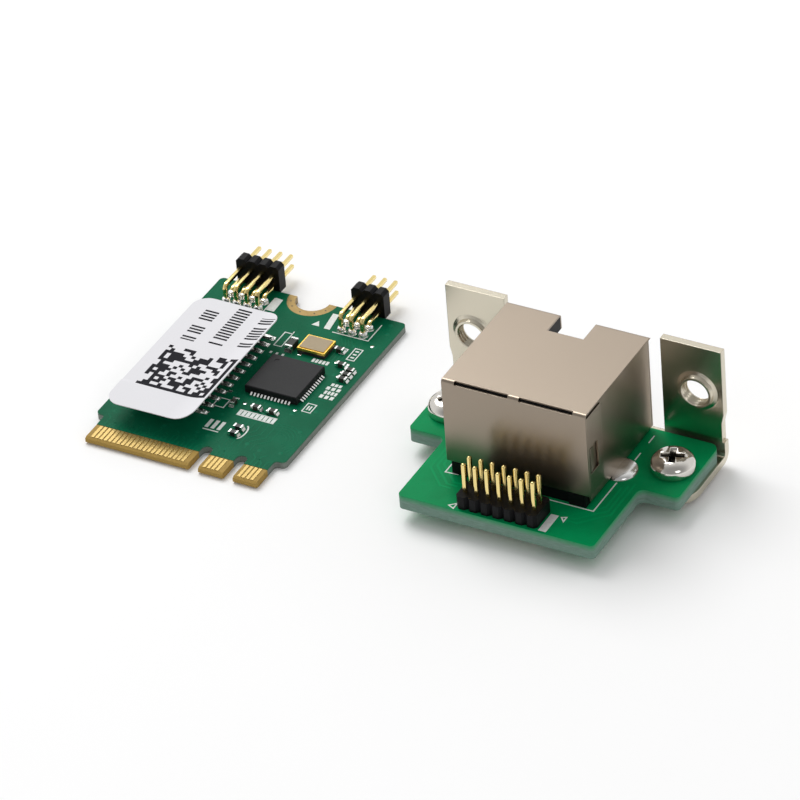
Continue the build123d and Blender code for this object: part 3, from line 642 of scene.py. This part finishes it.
def solder_at(name, origin, places, replaced, below=0.0):
    """Solder drawn up round the pins of one header or row of tails, or hanging below the board."""
    s = sizes()
    foot, neck, rise = mm(s.solder_foot), mm(s.solder_neck), mm(s.solder_rise)
    thin, core = 0.04, neck * 0.4
    slope = arc(neck, thin, foot - neck, rise - thin, 0, 90, 6)
    fillet = bmesh.new()
    add_lathe(fillet, [(core, 0.0), (foot * 1.06, 0.0), *slope, (core, rise + 0.02), (core, 0.0)], steps=24)
    flip = Matrix.Rotation(math.pi if below else 0.0, 4, "X")
    spots = [at(x, y, -below) @ flip for x, y in places]
    finish_piece(copies(fillet, spots), name, origin, "solder", [replaced], crease=80.0)


def header_pin(foot_y, low, top, tip_y=None):
    """Square pin with tapered ends, upright, or bent over at the top to end at a place along y."""
    side, taper, bend = PIN_SIDE, mm(sizes().wire_taper), 0.45
    bm = bmesh.new()
    bmesh.ops.create_grid(bm, x_segments=1, y_segments=1, size=side / 2 - taper, matrix=at(0, foot_y, low))
    face = pulled(bm, bm.faces[:][0], (0, 0, taper), side / (side - 2 * taper))
    way, run = Vector((0, 0, 1)), top - low - taper
    if tip_y is not None:
        face = pulled(bm, face, way * (run - bend))
        turned = bmesh.ops.spin(
            bm, geom=[face, *face.edges, *face.verts], cent=(0, foot_y + bend, top - bend), axis=(1, 0, 0),
            dvec=(0, 0, 0), angle=-math.pi / 2, steps=8, use_merge=False, use_duplicate=False)
        face = faces_in(turned["geom_last"])[0]
        way, run = Vector((0, 1, 0)), tip_y - foot_y - bend
    face = pulled(bm, face, way * (run - taper))
    pulled(bm, face, way * taper, 1 - 2 * taper / side)
    face_out(bm)
    soften_sharp(bm, mm(sizes().wire_bevel))
    return bm


class AdapterOperator:
    """What all operators here share."""

    bl_options = {"REGISTER", "UNDO"}

    def execute(self, context):
        self.build(context)
        return {"FINISHED"}


class ADAPTER_OT_card_board(AdapterOperator, bpy.types.Operator):
    """Coated laminate of the edge card, its gold contacts and its plated half hole"""

    bl_idname = "adapter.card_board"
    bl_label = "Card board"

    def build(self, context):
        dress("card_circuit_board", "card_laminate")
        dress("edge_contacts", "gold_plate")
        dress("mounting_ring", "ring_plate")
        low, high = in_half("mounting_ring", CARD)
        bore, via = 1.9, 0.09
        radius = ((high.x - low.x) / 2 + bore) / 2
        # Dark discs stand in for the open via holes in the ring: painted shade in place of their depth
        bm = bmesh.new()
        for degrees in (205, 228, 262, 301, 331):
            turn = math.radians(degrees)
            add_disc(bm, radius * math.cos(turn), high.y + radius * math.sin(turn), via, 0.008, via, sides=12)
        finish_piece(bm, "ring_vias", CARD, "crystal_ceramic")


# Where vias show through the card's coating
CARD_VIAS = (
    (0.2, 5.2), (1.5, 5.0), (5.9, 5.4), (7.6, 4.9), (9.8, 5.3), (9.9, 9.2), (7.6, 11.6), (9.7, 12.9),
    (1.0, 8.8), (0.3, 12.6), (0.5, 19.6), (1.4, 23.9), (3.0, 24.3), (7.9, 24.4), (9.9, 25.0),
    (10.0, 27.6), (9.6, 29.1), (-10.1, 24.7), (-10.2, 28.6), (-9.4, 5.1), (-7.2, 5.0), (-3.4, 4.9),
    (8.3, 19.2),
)


class ADAPTER_OT_card_traces(AdapterOperator, bpy.types.Operator):
    """Copper traces and vias that show through the card's coating"""

    bl_idname = "adapter.card_traces"
    bl_label = "Card traces"

    def build(self, context):
        s = sizes()
        width, height, radius = mm(s.trace_width), mm(s.trace_height), mm(s.via_radius)
        bm = bmesh.new()
        for points in self.from_contacts():
            add_stroke(bm, points, width, height)
        # Groups that cross lie at different heights, so that they share no face
        thinner, higher = 0.7, 1.1
        for group in (self.to_transformer(), self.to_tongue(), self.round_controller()):
            height *= higher
            for points in group:
                add_stroke(bm, points, width * thinner, height)
        finish_piece(bm, "card_traces", CARD, "card_trace")
        bm = bmesh.new()
        for x, y in CARD_VIAS:
            add_disc(bm, x, y, radius, height * higher, radius * 0.75)
        finish_piece(bm, "card_vias", CARD, "card_trace")

    def from_contacts(self):
        """A short run of uneven length from each upper contact, and none at the two notches."""
        start = in_half("edge_contacts", CARD)[1].y + 0.1
        last, middle, half_pitch = 75, 38, 0.25
        notches = (*range(8, 16), *range(24, 32))
        shortest, longer, jog = 0.5, 1.3, 0.5
        for place in range(1, last + 1, 2):
            if place in notches:
                continue
            x = half_pitch * (middle - place)
            end = start + shortest + longer * ((place * 0.37) % 1.0)
            lean = jog if place % 4 == 1 else -jog
            yield [(x, start), (x, end), (x + lean, end + jog)]

    def to_transformer(self):
        """From the controller's leads to the transformer's."""
        for index, row in enumerate(evenly(12, PITCH, 15.4)[2:10]):
            start, bend = 14.6 + 0.4 * index, 0.95 - 0.18 * index
            yield [(1.0, start), (bend, start), (bend - 0.1, row), (-0.5, row)]

    def to_tongue(self):
        """From the controller's near side towards the tongue."""
        for index in range(6):
            x, level = 2.6 + 0.4 * index, 12.2 - 0.25 * index
            out, drop = x + 1.6 + 0.35 * index, 0.3 * index
            yield [(x, 12.5), (x, level), (out, level - 1.6), (out, 8.2 - drop),
                   (out - 1.2, 7.0 - drop), (out - 1.2, 4.6)]

    def round_controller(self):
        """Arcs at the card's near right, and runs right of the controller and behind it."""
        for index in range(5):
            radius = 1.0 + 0.38 * index
            yield arc(8.2, 7.2, radius, radius, -40, 120, 8)
        for index in range(5):
            y = 14.4 + 0.55 * index
            yield [(7.9, y), (8.5, y), (9.0, y + 0.5), (9.9, y + 0.5)]
        for index in range(4):
            x = 5.6 + 0.4 * index
            yield [(x, 19.6), (x, 20.4), (x + 0.9, 21.3), (x + 0.9, 24.2), (x + 0.3, 25.2)]


# Print on the card. Rows of slats: left, right, near, far, how many, gap between them
CARD_SLATS = (
    (2.4, 6.7, 9.45, 10.15, 9, 0.1),
    (0.75, 1.4, 10.9, 11.9, 2, 0.12),
    (0.4, 2.2, 6.3, 7.7, 3, 0.3),
    (8.7, 10.3, 15.2, 15.75, 3, 0.2),
    (8.85, 10.3, 15.95, 16.5, 4, 0.12),
    (8.7, 10.3, 16.7, 17.2, 3, 0.2),
    (8.9, 10.1, 17.4, 17.85, 3, 0.12),
    (8.55, 9.0, 12.8, 13.5, 2, 0.12),
    (5.0, 6.9, 20.35, 20.95, 5, 0.12),
    (0.25, 1.9, 20.05, 20.4, 3, 0.45),
    (-3.6, -2.9, 25.5, 26.1, 2, 0.12),
)

# Single bars: left, right, near, far
CARD_BARS = (
    (2.4, 6.7, 9.3, 9.42), (2.4, 6.7, 10.18, 10.3), (0.4, 2.2, 5.9, 6.05), (0.85, 0.95, 23.8, 24.3),
    (8.42, 8.83, 22.45, 22.67), (8.42, 8.83, 23.0, 23.22), (8.42, 8.83, 23.55, 23.77),
)

# Outlines of rectangles: left, right, near, far
CARD_OUTLINES = (
    (-0.55, 0.55, 9.9, 11.2), (8.35, 9.2, 12.5, 13.8), (0.1, 0.85, 21.5, 23.8), (8.25, 9.0, 22.15, 24.05),
    (7.05, 7.5, 22.8, 23.6),
)

# Slanted patches and a triangle beside the headers
CARD_PATCHES = (
    ((3.4, 26.0), (4.1, 26.0), (3.75, 28.7), (3.05, 28.7)),
    ((1.9, 26.1), (2.8, 26.1), (2.35, 26.95)),
    ((-3.8, 26.6), (-2.85, 26.6), (-2.95, 28.8), (-3.85, 28.9)),
)


class ADAPTER_OT_card_print(AdapterOperator, bpy.types.Operator):
    """White outlines, bars and triangles printed on the card"""

    bl_idname = "adapter.card_print"
    bl_label = "Card print"

    def build(self, context):
        high, line = mm(sizes().ink_height), 0.12
        bm = bmesh.new()
        for left, right, near, far, count, gap in CARD_SLATS:
            step = (right - left + gap) / count
            for index in range(count):
                add_plate(bm, left + index * step, left + (index + 1) * step - gap, near, far, high)
        for bar in CARD_BARS:
            add_plate(bm, *bar, high)
        for left, right, near, far in CARD_OUTLINES:
            add_stroke(bm, [(left, near), (right, near), (right, far), (left, far)], line, high, closed=True)
        add_stroke(bm, arc(4.35, 6.9, 0.45, 1.1, -80, 80, 8), 0.16, high)
        near, far, beside = UPPER_FOOT - 0.6, LOWER_FOOT + 1.1, 0.75
        for columns, past in ((RIGHT_COLUMNS, 0.85), (LEFT_COLUMNS, 0.65)):
            left, right = columns[0] - beside, columns[-1] + past
            add_stroke(bm, [(left, near), (right, near), (right, far)], line, high)
        for points in CARD_PATCHES:
            face = bm.faces.new([bm.verts.new((x, y, 0.0)) for x, y in points])
            pulled(bm, face, (0, 0, high))
        finish_piece(bm, "card_print", CARD, "ink")


# Small pads of the card, with the turn of each in degrees, and its round test points
CARD_PADS = (
    (1.55, 23.05, 20), (1.65, 21.3, 0), (3.35, 21.0, 0), (6.35, 23.6, 0), (7.55, 21.2, 30), (8.9, 19.95, 0),
    (8.9, 19.1, 0), (2.3, 11.3, 0), (3.2, 11.3, 0), (4.15, 11.3, 20), (5.1, 11.25, 0), (6.1, 11.25, 20),
    (-0.1, 12.6, 0),
)
TEST_POINTS = (
    (8.5, 20.7), (8.8, 21.3), (9.9, 20.65), (10.05, 19.6), (9.95, 18.8), (7.6, 12.3), (9.6, 25.1),
)


class ADAPTER_OT_card_pads(AdapterOperator, bpy.types.Operator):
    """Small tinned pads and test points of the card"""

    bl_idname = "adapter.card_pads"
    bl_label = "Card pads"

    def build(self, context):
        high = mm(sizes().pad_height)
        half_width, half_depth, point, point_top = 0.2, 0.16, 0.2, 0.14
        pad = bmesh.new()
        add_plate(pad, -half_width, half_width, -half_depth, half_depth, high)
        soften_sharp(pad, high * 0.45)
        bm = copies(pad, [at(x, y, turn=turn) for x, y, turn in CARD_PADS])
        for x, y in TEST_POINTS:
            add_disc(bm, x, y, point, high, point_top)
        finish_piece(bm, "card_pads", CARD, "solder")


class ADAPTER_OT_transformer(AdapterOperator, bpy.types.Operator):
    """Transformer module, its leads, and the pads and solder under their feet"""

    bl_idname = "adapter.transformer"
    bl_label = "Transformer"

    def build(self, context):
        dress("transformer_body", "chip_moulding")
        dress("transformer_leads", "lead_tin")
        low, high = in_half("transformer_leads", CARD)
        rows = evenly(12, PITCH, (low.y + high.y) / 2)
        dome, reach, breadth, rise = bmesh.new(), 0.42, 0.30, 0.24
        bmesh.ops.create_uvsphere(dome, u_segments=12, v_segments=8, radius=1.0,
                                  matrix=Matrix.Diagonal((reach, breadth, rise, 1.0)))
        bmesh.ops.bisect_plane(dome, geom=dome.verts[:] + dome.edges[:] + dome.faces[:],
                               plane_co=(0, 0, 0), plane_no=(0, 0, 1), clear_inner=True)
        bmesh.ops.holes_fill(dome, edges=dome.edges, sides=0)
        tips = [at(x, y) for x in (high.x + 0.02, low.x - 0.02) for y in rows]
        finish_piece(copies(dome, tips), "transformer_solder", CARD, "solder")
        bm = bmesh.new()
        half, thick = 0.32, 0.02
        for y in rows:
            for left, right in ((high.x - 0.8, high.x + 0.5), (low.x - 0.4, low.x + 0.8)):
                add_plate(bm, left, right, y - half, y + half, thick)
        finish_piece(bm, "transformer_pads", CARD, "lead_tin")


class ADAPTER_OT_label(AdapterOperator, bpy.types.Operator):
    """Paper label with rounded corners, curled up past the transformer's right side"""

    bl_idname = "adapter.label"
    bl_label = "Label"

    def build(self, context):
        s = sizes()
        low, high = in_half("id_label", CARD)
        body_low, body_high = in_half("transformer_body", CARD)
        width, along, paper = mm(s.label_width), high.y - low.y, mm(s.label_paper)
        bm = bmesh.new()
        bmesh.ops.create_grid(bm, x_segments=50, y_segments=100, size=0.5,
                              matrix=Matrix.Diagonal((width, along, 1.0, 1.0)))
        self.round_corners(bm, width / 2, along / 2, mm(s.label_corner))
        upper = bmesh.ops.extrude_face_region(bm, geom=bm.faces[:])["geom"]
        bmesh.ops.translate(bm, vec=(0, 0, paper), verts=verts_in(upper))
        face_out(bm)
        bmesh.ops.translate(bm, vec=(low.x + width / 2, (low.y + high.y) / 2, body_high.z), verts=bm.verts)
        self.curl(bm, body_high.x, body_high.z + paper / 2, mm(s.label_curl), body_low.y - 0.5)
        finish_piece(bm, "label_sheet", CARD, "label_paper", ["id_label"], recalculate=False)

    def round_corners(self, bm, half_width, half_length, corner):
        """Draws the grid's square corners in to round ones."""
        for vert in bm.verts:
            across = abs(vert.co.x) - (half_width - corner)
            beyond = abs(vert.co.y) - (half_length - corner)
            if across > 0 and beyond > 0:
                share = max(across, beyond) / math.hypot(across, beyond)
                vert.co.x = math.copysign(half_width - corner + across * share, vert.co.x)
                vert.co.y = math.copysign(half_length - corner + beyond * share, vert.co.y)

    def curl(self, bm, lift, middle, radius, wave_until, wave=0.03):
        """Rolls the paper up past the place where it lifts, and lets its near end wave."""
        for vert in bm.verts:
            x, y, z = vert.co
            if x > lift:
                turn = (x - lift) / radius
                reach = radius - (z - middle)
                vert.co.x = lift + reach * math.sin(turn)
                vert.co.z = middle + radius - reach * math.cos(turn)
            if y < wave_until:
                vert.co.z += wave * (1 + math.sin(0.9 * y + 0.5 * x))


class ADAPTER_OT_controller(AdapterOperator, bpy.types.Operator):
    """Controller chip and its leads"""

    bl_idname = "adapter.controller"
    bl_label = "Controller"

    def build(self, context):
        dress("controller_body", "chip_moulding")
        dress("controller_leads", "lead_tin")


class ADAPTER_OT_crystal(AdapterOperator, bpy.types.Operator):
    """Crystal: ceramic base, gold rim and metal lid"""

    bl_idname = "adapter.crystal"
    bl_label = "Crystal"

    def build(self, context):
        dress("crystal_base", "crystal_ceramic")
        dress("crystal_seal_ring", "crystal_rim")
        dress("crystal_lid", "crystal_metal")


class ADAPTER_OT_chip_parts(AdapterOperator, bpy.types.Operator):
    """Chip capacitors and resistors with their tinned ends"""

    bl_idname = "adapter.chip_parts"
    bl_label = "Chip parts"

    def build(self, context):
        dress("chip_capacitors", "capacitor_ceramic")
        dress("chip_resistors", "resistor_ceramic")
        dress("chip_end_caps", "lead_tin")


class ADAPTER_OT_card_headers(AdapterOperator, bpy.types.Operator):
    """Right-angle headers of the card with smooth solder round their feet"""

    bl_idname = "adapter.card_headers"
    bl_label = "Card headers"

    def build(self, context):
        middle = middle_of("left_header_insulator", CARD).z
        low, tip = in_half("card_circuit_board", CARD)[0].z, in_half("left_header_pins", CARD)[1].y
        for side, columns in (("left", LEFT_COLUMNS), ("right", RIGHT_COLUMNS)):
            dress(f"{side}_header_insulator", "black_moulding")
            feet = [(x, foot) for x in columns for foot in (UPPER_FOOT, LOWER_FOOT)]
            solder_at(f"{side}_header_fillets", CARD, feet, f"{side}_header_solder")
            places = [at(x, 0) for x in columns]
            upper = copies(header_pin(UPPER_FOOT, low, middle + PITCH / 2, tip), places)
            lower = copies(header_pin(LOWER_FOOT, low, middle - PITCH / 2, tip), places)
            finish_piece(upper, f"{side}_header_upper_row", CARD, "header_pin",
                         [f"{side}_header_pins"])
            finish_piece(lower, f"{side}_header_lower_row", CARD, "header_pin")


# Lines printed on the jack board, open and closed, and one bar
JACK_LINES = (
    ((-8.25, 8.9), (-8.25, 10.2)), ((-8.25, 12.0), (-8.25, 13.3)),
    ((8.25, 8.9), (8.25, 10.2)), ((8.25, 12.0), (8.25, 13.3)),
    ((3.0, -0.1), (8.2, -0.1), (8.25, 4.9)),
    ((-6.7, -0.1), (-8.2, -0.2), (-8.2, 1.4)),
    ((-8.2, 3.4), (-8.2, 4.9)),
)
JACK_TRIANGLES = (
    ((5.75, -2.25), (6.4, -1.95), (6.4, -3.0)),
    ((-4.7, -5.0), (-4.7, -4.4), (-5.15, -4.8)),
)
JACK_BAR = (4.66, 5.5, -5.0, -2.15)


class ADAPTER_OT_jack_board(AdapterOperator, bpy.types.Operator):
    """Jack board with its print and its traces"""

    bl_idname = "adapter.jack_board"
    bl_label = "Jack board"

    def build(self, context):
        dress("jack_circuit_board", "jack_laminate")
        s = sizes()
        high, line = mm(s.ink_height), 0.14
        bm = bmesh.new()
        for points in JACK_LINES:
            add_stroke(bm, points, line, high)
        for points in JACK_TRIANGLES:
            add_stroke(bm, points, line, high, closed=True)
        add_plate(bm, *JACK_BAR, high)
        finish_piece(bm, "jack_print", JACK, "ink")
        bm = bmesh.new()
        width, height = mm(s.trace_width) * 1.5, mm(s.trace_height)
        for side in (-1, 1):
            for step in (0.0, 0.5, 1.0):
                add_stroke(bm, [(side * (5.4 + step), -1.4 - step), (side * (6.6 + step), -1.4 - step),
                                (side * (9.0 + step), 1.0 - step), (side * (9.0 + step), 4.4 + step)],
                           width, height)
        finish_piece(bm, "jack_traces", JACK, "jack_trace")


class ADAPTER_OT_board_header(AdapterOperator, bpy.types.Operator):
    """Upright header on the jack board"""

    bl_idname = "adapter.board_header"
    bl_label = "Board header"

    def build(self, context):
        dress("pin_header_insulator", "black_moulding")
        places = [(x, y) for x in UPRIGHT_COLUMNS for y in UPRIGHT_ROWS]
        pins = copies(header_pin(0.0, UPRIGHT_LOW.z, UPRIGHT_HIGH.z), [at(x, y) for x, y in places])
        finish_piece(pins, "upright_header_wires", JACK, "header_pin", ["pin_header_pins"])
        solder_at("pin_header_fillets", JACK, places, "pin_header_solder", below=JACK_BOARD_THICKNESS)


class ADAPTER_OT_jack(AdapterOperator, bpy.types.Operator):
    """Jack housing, its contact wires and the solder on their tails"""

    bl_idname = "adapter.jack"
    bl_label = "Jack"

    def build(self, context):
        dress("jack_housing", "black_moulding")
        dress("jack_contacts", "contact_wire")
        low, high = in_half("jack_contacts", JACK)
        wire, row_spacing = 0.45, 2.54
        columns = evenly(8, (high.x - low.x - wire) / 7)
        near, far = evenly(2, row_spacing, middle_of("jack_pin_solder", JACK).y)
        tails = [(x, far if index % 2 else near) for index, x in enumerate(columns)]
        solder_at("jack_tail_fillets", JACK, tails, "jack_pin_solder", below=JACK_BOARD_THICKNESS)


class ADAPTER_OT_shield(AdapterOperator, bpy.types.Operator):
    """Folded shield of the jack and the solder on its legs"""

    bl_idname = "adapter.shield"
    bl_label = "Shield"

    def build(self, context):
        dress("jack_shield", "shield_sheet")
        low, high = in_half("shield_leg_solder", JACK)
        radius, rise, steps, fullness = (high.y - low.y) / 2, high.z, 8, 0.8
        profile = [(0.0, rise)]
        for turn in [math.radians(90 * step / steps) for step in range(1, steps)]:
            profile.append((radius * math.sin(turn), rise * math.cos(turn) ** fullness))
        profile += [(radius, 0.0), (0.0, 0.0)]
        dome = bmesh.new()
        add_lathe(dome, profile, steps=24, half=True)
        wall, middle = high.x - radius, (low.y + high.y) / 2
        places = [at(wall, middle, turn=-90), at(-wall, middle, turn=90)]
        finish_piece(copies(dome, places), "leg_solder_domes", JACK, "solder",
                     ["shield_leg_solder"])


class ADAPTER_OT_bracket(AdapterOperator, bpy.types.Operator):
    """Bracket with the threads in its collars"""

    bl_idname = "adapter.bracket"
    bl_label = "Bracket"

    def build(self, context):
        dress("bracket", "bracket_sheet")
        s = sizes()
        pitch, depth = mm(s.thread_pitch), mm(s.thread_depth)
        bore, hole_height, hole_spacing, turns, sunk = 1.5, 5.7, 24.99, 3, 0.02
        profile = [(bore, 0.0)]
        for index in range(turns):
            profile += [(bore - depth, (index + 0.5) * pitch), (bore, (index + 1) * pitch)]
        profile += [(bore + sunk, turns * pitch), (bore + sunk, 0.0), (bore, 0.0)]
        thread = bmesh.new()
        add_lathe(thread, profile, steps=36)
        lying = Matrix.Rotation(math.radians(90), 4, "X")
        face = in_half("bracket", JACK)[1].y - 0.04
        places = [at(x, face, hole_height) @ lying for x in evenly(2, hole_spacing)]
        finish_piece(copies(thread, places), "bracket_threads", JACK, "bracket_sheet",
                     crease=20.0)


class ADAPTER_OT_screws(AdapterOperator, bpy.types.Operator):
    """Pan-head screws with a cross recess and a thread"""

    bl_idname = "adapter.screws"
    bl_label = "Screws"

    def build(self, context):
        low, high = in_half("bracket_screws", JACK)
        head, top, tip = (high.y - low.y) / 2, high.z, low.z
        crown, crest, root, point = 1.3, 1.2, 1.0, 0.85
        pitch = mm(sizes().screw_pitch)
        profile = [(crown, top), (1.68, 1.53), (2.0, 1.31), (2.22, 1.03), (head, 0.75), (head, 0.1),
                   (2.22, 0.0), (crest, 0.0)]
        z = -0.1
        while z - pitch > tip + 0.2:
            profile += [(crest, z), (root, z - pitch / 2)]
            z -= pitch
        profile += [(crest, z), (point, tip), (0.0, tip)]
        screw = bmesh.new()
        add_lathe(screw, profile, steps=48)
        self.recess(screw, top)
        screw_x, screw_y = high.x - head, (low.y + high.y) / 2
        places = [at(-screw_x, screw_y, turn=38), at(screw_x, screw_y, turn=20)]
        finish_piece(copies(screw, places), "pan_head_screws", JACK, "screw_steel",
                     ["bracket_screws"], crease=28.0)

    def recess(self, bm, top):
        """Closes the head's crown with a tapered cross sunk into it."""
        s = sizes()
        reach, half = mm(s.recess_span) / 2, mm(s.recess_width) / 2
        corners_of_arm = [(reach, -half), (reach, half), (half, half)]
        verts = []
        for quarter in range(4):
            turn = Matrix.Rotation(math.radians(90 * quarter), 4, "Z")
            verts += [bm.verts.new(turn @ Vector((x, y, top))) for x, y in corners_of_arm]
        rim = [edge for edge in bm.edges if edge.is_boundary]
        cross = [bm.edges.new(pair) for pair in zip(verts, verts[1:] + verts[:1])]
        bmesh.ops.triangle_fill(bm, use_beauty=True, use_dissolve=False, edges=rim + cross)
        mouth = [edge for edge in bm.edges if edge.is_boundary]
        floor = verts_in(bmesh.ops.extrude_edge_only(bm, edges=mouth)["geom"])
        bmesh.ops.scale(bm, vec=(0.75, 0.75, 1.0), verts=floor)
        bmesh.ops.translate(bm, vec=(0, 0, -mm(s.recess_depth)), verts=floor)
        bmesh.ops.holes_fill(bm, edges=[edge for edge in bm.edges if edge.is_boundary], sides=0)
        face_out(bm)
        soften(bm, mouth, 0.06)


class ADAPTER_OT_stage(AdapterOperator, bpy.types.Operator):
    """Pale floor, soft lights, pale surroundings and the camera"""

    bl_idname = "adapter.stage"
    bl_label = "Stage"

    def build(self, context):
        stage = context.scene.adapter_stage
        self.floor(stage)
        self.surroundings(context, stage)
        self.light("key_light", (-0.35, 0.25, 0.55), 0.45, stage.key_power)
        self.light("fill_light", (0.45, -0.35, 0.30), 0.25, stage.fill_power)
        self.camera(context, stage)
        context.scene.view_settings.view_transform = "Standard"

    def floor(self, stage):
        bm = bmesh.new()
        bmesh.ops.create_grid(bm, x_segments=2, y_segments=2, size=1.5)
        mesh = as_mesh(bm, "floor")
        material, tree, shader = start_material("floor")
        fine = noise(tree, object_place(tree), 0.05)
        tone = mixed(tree, fine, shaded(stage.floor, 0.985), stage.floor)
        join(tree, shader, {"Base Color": tone, "Roughness": 0.9, "Specular IOR Level": 0.1})
        mesh.materials.append(material)
        floor = placed("floor", mesh)

    def surroundings(self, context, stage):
        """Pale all round, and dimmer on the camera's side, so that metal shows dark and light."""
        world = bpy.data.worlds.new("surroundings")
        world.use_nodes = True
        tree = world.node_tree
        way = node(tree, "TexCoord").outputs["Generated"]
        facing = node(tree, "VectorMath", {0: way, 1: self.toward_camera(stage)}, operation="DOT_PRODUCT")
        dim = stage.sky_strength * stage.sky_shade
        values = {0: facing.outputs["Value"], 1: 0.1, 2: 0.9, 3: stage.sky_strength, 4: dim}
        strength = node(tree, "MapRange", values, interpolation_type="SMOOTHSTEP").outputs[0]
        join(tree, tree.nodes["Background"], {"Color": opaque(stage.sky), "Strength": strength})
        context.scene.world = world

    def light(self, name, place, side, power):
        data = bpy.data.lights.new(name, "AREA")
        data.shape = "DISK"
        data.size = side
        data.energy = power
        lamp = placed(name, data)
        lamp.location = place
        lamp.rotation_euler = (-Vector(place)).to_track_quat("-Z", "Y").to_euler()

    def toward_camera(self, stage):
        """Direction from the part to the camera."""
        azimuth, elevation = stage.azimuth, stage.elevation
        level = math.cos(elevation)
        return Vector((math.sin(azimuth) * level, -math.cos(azimuth) * level, math.sin(elevation)))

    def camera(self, context, stage):
        azimuth, roll = stage.azimuth, stage.roll
        back = self.toward_camera(stage)
        level = Vector((math.cos(azimuth), math.sin(azimuth), 0))
        upright = back.cross(level)
        right = level * math.cos(roll) + upright * math.sin(roll)
        up = upright * math.cos(roll) - level * math.sin(roll)
        data = bpy.data.cameras.new("camera")
        data.lens = stage.lens
        data.sensor_width = 36.0
        data.clip_start = 0.01
        data.clip_end = 20.0
        camera = placed("camera", data)
        place = CARD + right * stage.aim_right + up * stage.aim_up + back * stage.distance
        axes = Matrix((right, up, back)).transposed().to_4x4()
        camera.matrix_world = Matrix.Translation(place) @ axes
        context.scene.camera = camera


class ADAPTER_PT_panel(bpy.types.Panel):
    """Lists the adapter's operators"""

    bl_idname = "ADAPTER_PT_panel"
    bl_label = "Ethernet adapter card"
    bl_space_type = "VIEW_3D"
    bl_region_type = "UI"
    bl_category = "Adapter"

    def draw(self, context):
        for operator in OPERATORS:
            self.layout.operator(operator.bl_idname)


SETTINGS = {
    "adapter_colours": AdapterColours,
    "adapter_sizes": AdapterSizes,
    "adapter_stage": StageSettings,
}

OPERATORS = (
    ADAPTER_OT_stage,
    ADAPTER_OT_card_board,
    ADAPTER_OT_card_traces,
    ADAPTER_OT_card_print,
    ADAPTER_OT_card_pads,
    ADAPTER_OT_transformer,
    ADAPTER_OT_label,
    ADAPTER_OT_controller,
    ADAPTER_OT_crystal,
    ADAPTER_OT_chip_parts,
    ADAPTER_OT_card_headers,
    ADAPTER_OT_jack_board,
    ADAPTER_OT_board_header,
    ADAPTER_OT_jack,
    ADAPTER_OT_shield,
    ADAPTER_OT_bracket,
    ADAPTER_OT_screws,
)


def register():
    for group in SETTINGS.values():
        bpy.utils.register_class(group)
    for name, group in SETTINGS.items():
        setattr(bpy.types.Scene, name, bpy.props.PointerProperty(type=group))
    for operator in OPERATORS:
        bpy.utils.register_class(operator)
    bpy.utils.register_class(ADAPTER_PT_panel)


def unregister():
    bpy.utils.unregister_class(ADAPTER_PT_panel)
    for operator in reversed(OPERATORS):
        bpy.utils.unregister_class(operator)
    for name, group in SETTINGS.items():
        delattr(bpy.types.Scene, name)
        bpy.utils.unregister_class(group)


def main():
    register()
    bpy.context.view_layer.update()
    for operator in OPERATORS:
        getattr(bpy.ops.adapter, operator.bl_idname.partition(".")[2])()


if __name__ == "__main__":
    main()
